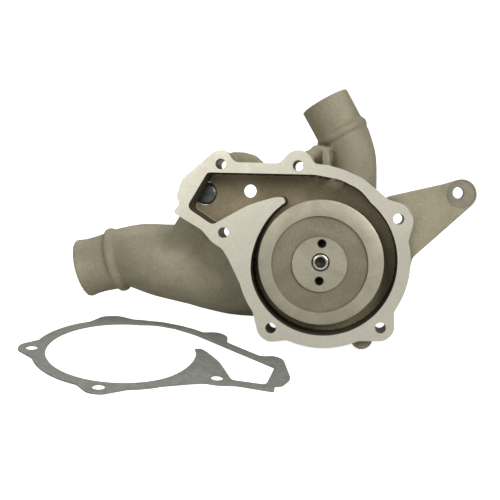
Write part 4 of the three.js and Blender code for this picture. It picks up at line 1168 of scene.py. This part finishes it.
# The centre drilling takes the near-black finish: painted shade.
drilled = near_axis(centre, (0, 0), CENTRE_DRILL_RADIUS - 0.1) & (centre[:, 1] < IMPELLER_FACE + 8)
assign(shaft, np.where(drilled, 1, 0))
soften(place(shaft, "shaft_bar", "rotor", "shaft_steel", "pump_shaft"))
hub = make_hub()
paint(hub, "hub_iron")
soften(place(hub, "hub_disc", "rotor", "hub_iron", "drive_hub"))

# ---------------------------------------------------------------- gasket
GASKET_THICKNESS = 1.0
GASKET_TURN = 143.4  # degrees about the row's +Z


def make_gasket():
    holes = [circle(hole, BOLT_HOLE_RADIUS + 0.3, 40) for hole in PUNCHED_HOLES]
    sheet = plate(flange_outline(), 0, GASKET_THICKNESS)
    return cut(
        sheet,
        plate(cavity_outline(), -1, 2),
        *[plate(hole, -1, 2) for hole in holes],
    )


# The CAD gasket gives where it lies: its box's centre is matched after the turn.
gasket = make_gasket()
low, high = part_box("volute_gasket")
turn = Matrix.Rotation(math.radians(GASKET_TURN), 4, "Z") @ Matrix.Rotation(math.radians(90), 4, "X")
gasket.data.transform(Matrix.Scale(0.001, 4) @ turn)
points = np.array([v.co for v in gasket.data.vertices])
shift = (np.array(low) + np.array(high)) / 2 - (points.min(0) + points.max(0)) / 2
gasket.data.transform(Matrix.Translation(Vector(shift)))
gasket.name = "gasket_sheet"
gasket.data.name = "gasket_sheet"
edge = gasket.modifiers.new("edge", "BEVEL")
edge.width = 0.00012
edge.segments = 2
edge.limit_method = "ANGLE"
evaluated(gasket)
paint(gasket, "gasket_fibre")
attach(gasket, "gasket")
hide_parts("volute_gasket")
soften(gasket)

# ---------------------------------------------------------------- inner pieces that stay as packed
SLOT_OF = {part["node"]: part["material_slot"] for part in record["subparts"]}
for name, node in frame["nodes"].items():
    if node.hide_render:
        continue
    slot = SLOT_OF[name]
    node.data.materials.clear()
    node.data.materials.append(FINISHES[slot])
    node.data.shade_smooth()
    node.data.set_sharp_from_angle(angle=math.radians(32))

# ---------------------------------------------------------------- camera, light, floor
FOCAL_LENGTH = 59.04
camera_data = bpy.data.cameras.new("camera")
camera_data.lens = FOCAL_LENGTH
camera_data.sensor_width = 36
camera_data.clip_start = 0.01
camera = bpy.data.objects.new("camera", camera_data)
bpy.context.scene.collection.objects.link(camera)
bpy.context.scene.camera = camera
look = Vector((-0.12766, 0.99043, -0.05236))
right = Vector((0.99174, 0.12682, -0.01899))
right = (right - look * right.dot(look)).normalized()
up = right.cross(look)
turn = Matrix((right, up, -look)).transposed().to_4x4()
turn.translation = Vector((27.31, -639.92, 44.27)) * 0.001
camera.matrix_world = PUMP @ turn

floor = mesh_object("floor", [(-30, -30, 0), (30, -30, 0), (30, 30, 0), (-30, 30, 0)], [(0, 1, 2, 3)])
floor.location.z = -0.0003
floor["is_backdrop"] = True
paint_floor = bpy.data.materials.new("floor_paint")
paint_floor.use_nodes = True
floor_tree = paint_floor.node_tree
floor_shader = floor_tree.nodes["Principled BSDF"]
floor_shader.inputs["Base Color"].default_value = (0.6, 0.6, 0.6, 1)
floor_shader.inputs["Roughness"].default_value = 0.9
floor_shader.inputs["Specular IOR Level"].default_value = 0.0
floor_shader.inputs["Emission Color"].default_value = (1, 1, 1, 1)
floor_seen = floor_tree.nodes.new("ShaderNodeLightPath")
floor_glow = floor_tree.nodes.new("ShaderNodeMapRange")
floor_glow.inputs["To Max"].default_value = 0.95
floor_tree.links.new(floor_seen.outputs["Is Camera Ray"], floor_glow.inputs["Value"])
floor_tree.links.new(floor_glow.outputs["Result"], floor_shader.inputs["Emission Strength"])
floor.data.materials.append(paint_floor)

world = bpy.data.worlds.new("world")
bpy.context.scene.world = world
world.use_nodes = True
sky = world.node_tree
ambient = sky.nodes["Background"]
ambient.inputs["Color"].default_value = (1, 0.985, 0.96, 1)
ambient.inputs["Strength"].default_value = 0.24
backdrop = sky.nodes.new("ShaderNodeBackground")
backdrop.inputs["Color"].default_value = (1, 1, 1, 1)
backdrop.inputs["Strength"].default_value = 1.05
pick = sky.nodes.new("ShaderNodeMixShader")
ray = sky.nodes.new("ShaderNodeLightPath")
sky.links.new(ray.outputs["Is Camera Ray"], pick.inputs["Fac"])
sky.links.new(ambient.outputs["Background"], pick.inputs[1])
sky.links.new(backdrop.outputs["Background"], pick.inputs[2])
sky.links.new(pick.outputs["Shader"], sky.nodes["World Output"].inputs["Surface"])


def lamp(name, kind, energy, **settings):
    data = bpy.data.lights.new(name, kind)
    data.energy = energy
    for key, value in settings.items():
        setattr(data, key, value)
    made = bpy.data.objects.new(name, data)
    bpy.context.scene.collection.objects.link(made)
    return made


def aim(obj, place, target):
    obj.location = place
    obj.rotation_mode = "QUATERNION"
    obj.rotation_quaternion = (Vector(target) - Vector(place)).to_track_quat("-Z", "Y")


key = lamp("key", "AREA", 22, shape="SQUARE", size=1.0)
aim(key, (0.85, -0.98, 1.2), (0, 0, 0.1))
panel = lamp("panel", "AREA", 9, shape="RECTANGLE", size=1.4, size_y=0.9)
aim(panel, (-0.85, -1.6, 0.98), (0, 0, 0.1))
back = lamp("back", "AREA", 11, shape="SQUARE", size=1.2)
aim(back, (-0.55, 0.85, 1.25), (0, 0, 0.1))

bpy.context.scene.view_settings.view_transform = "Standard"

low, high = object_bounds()
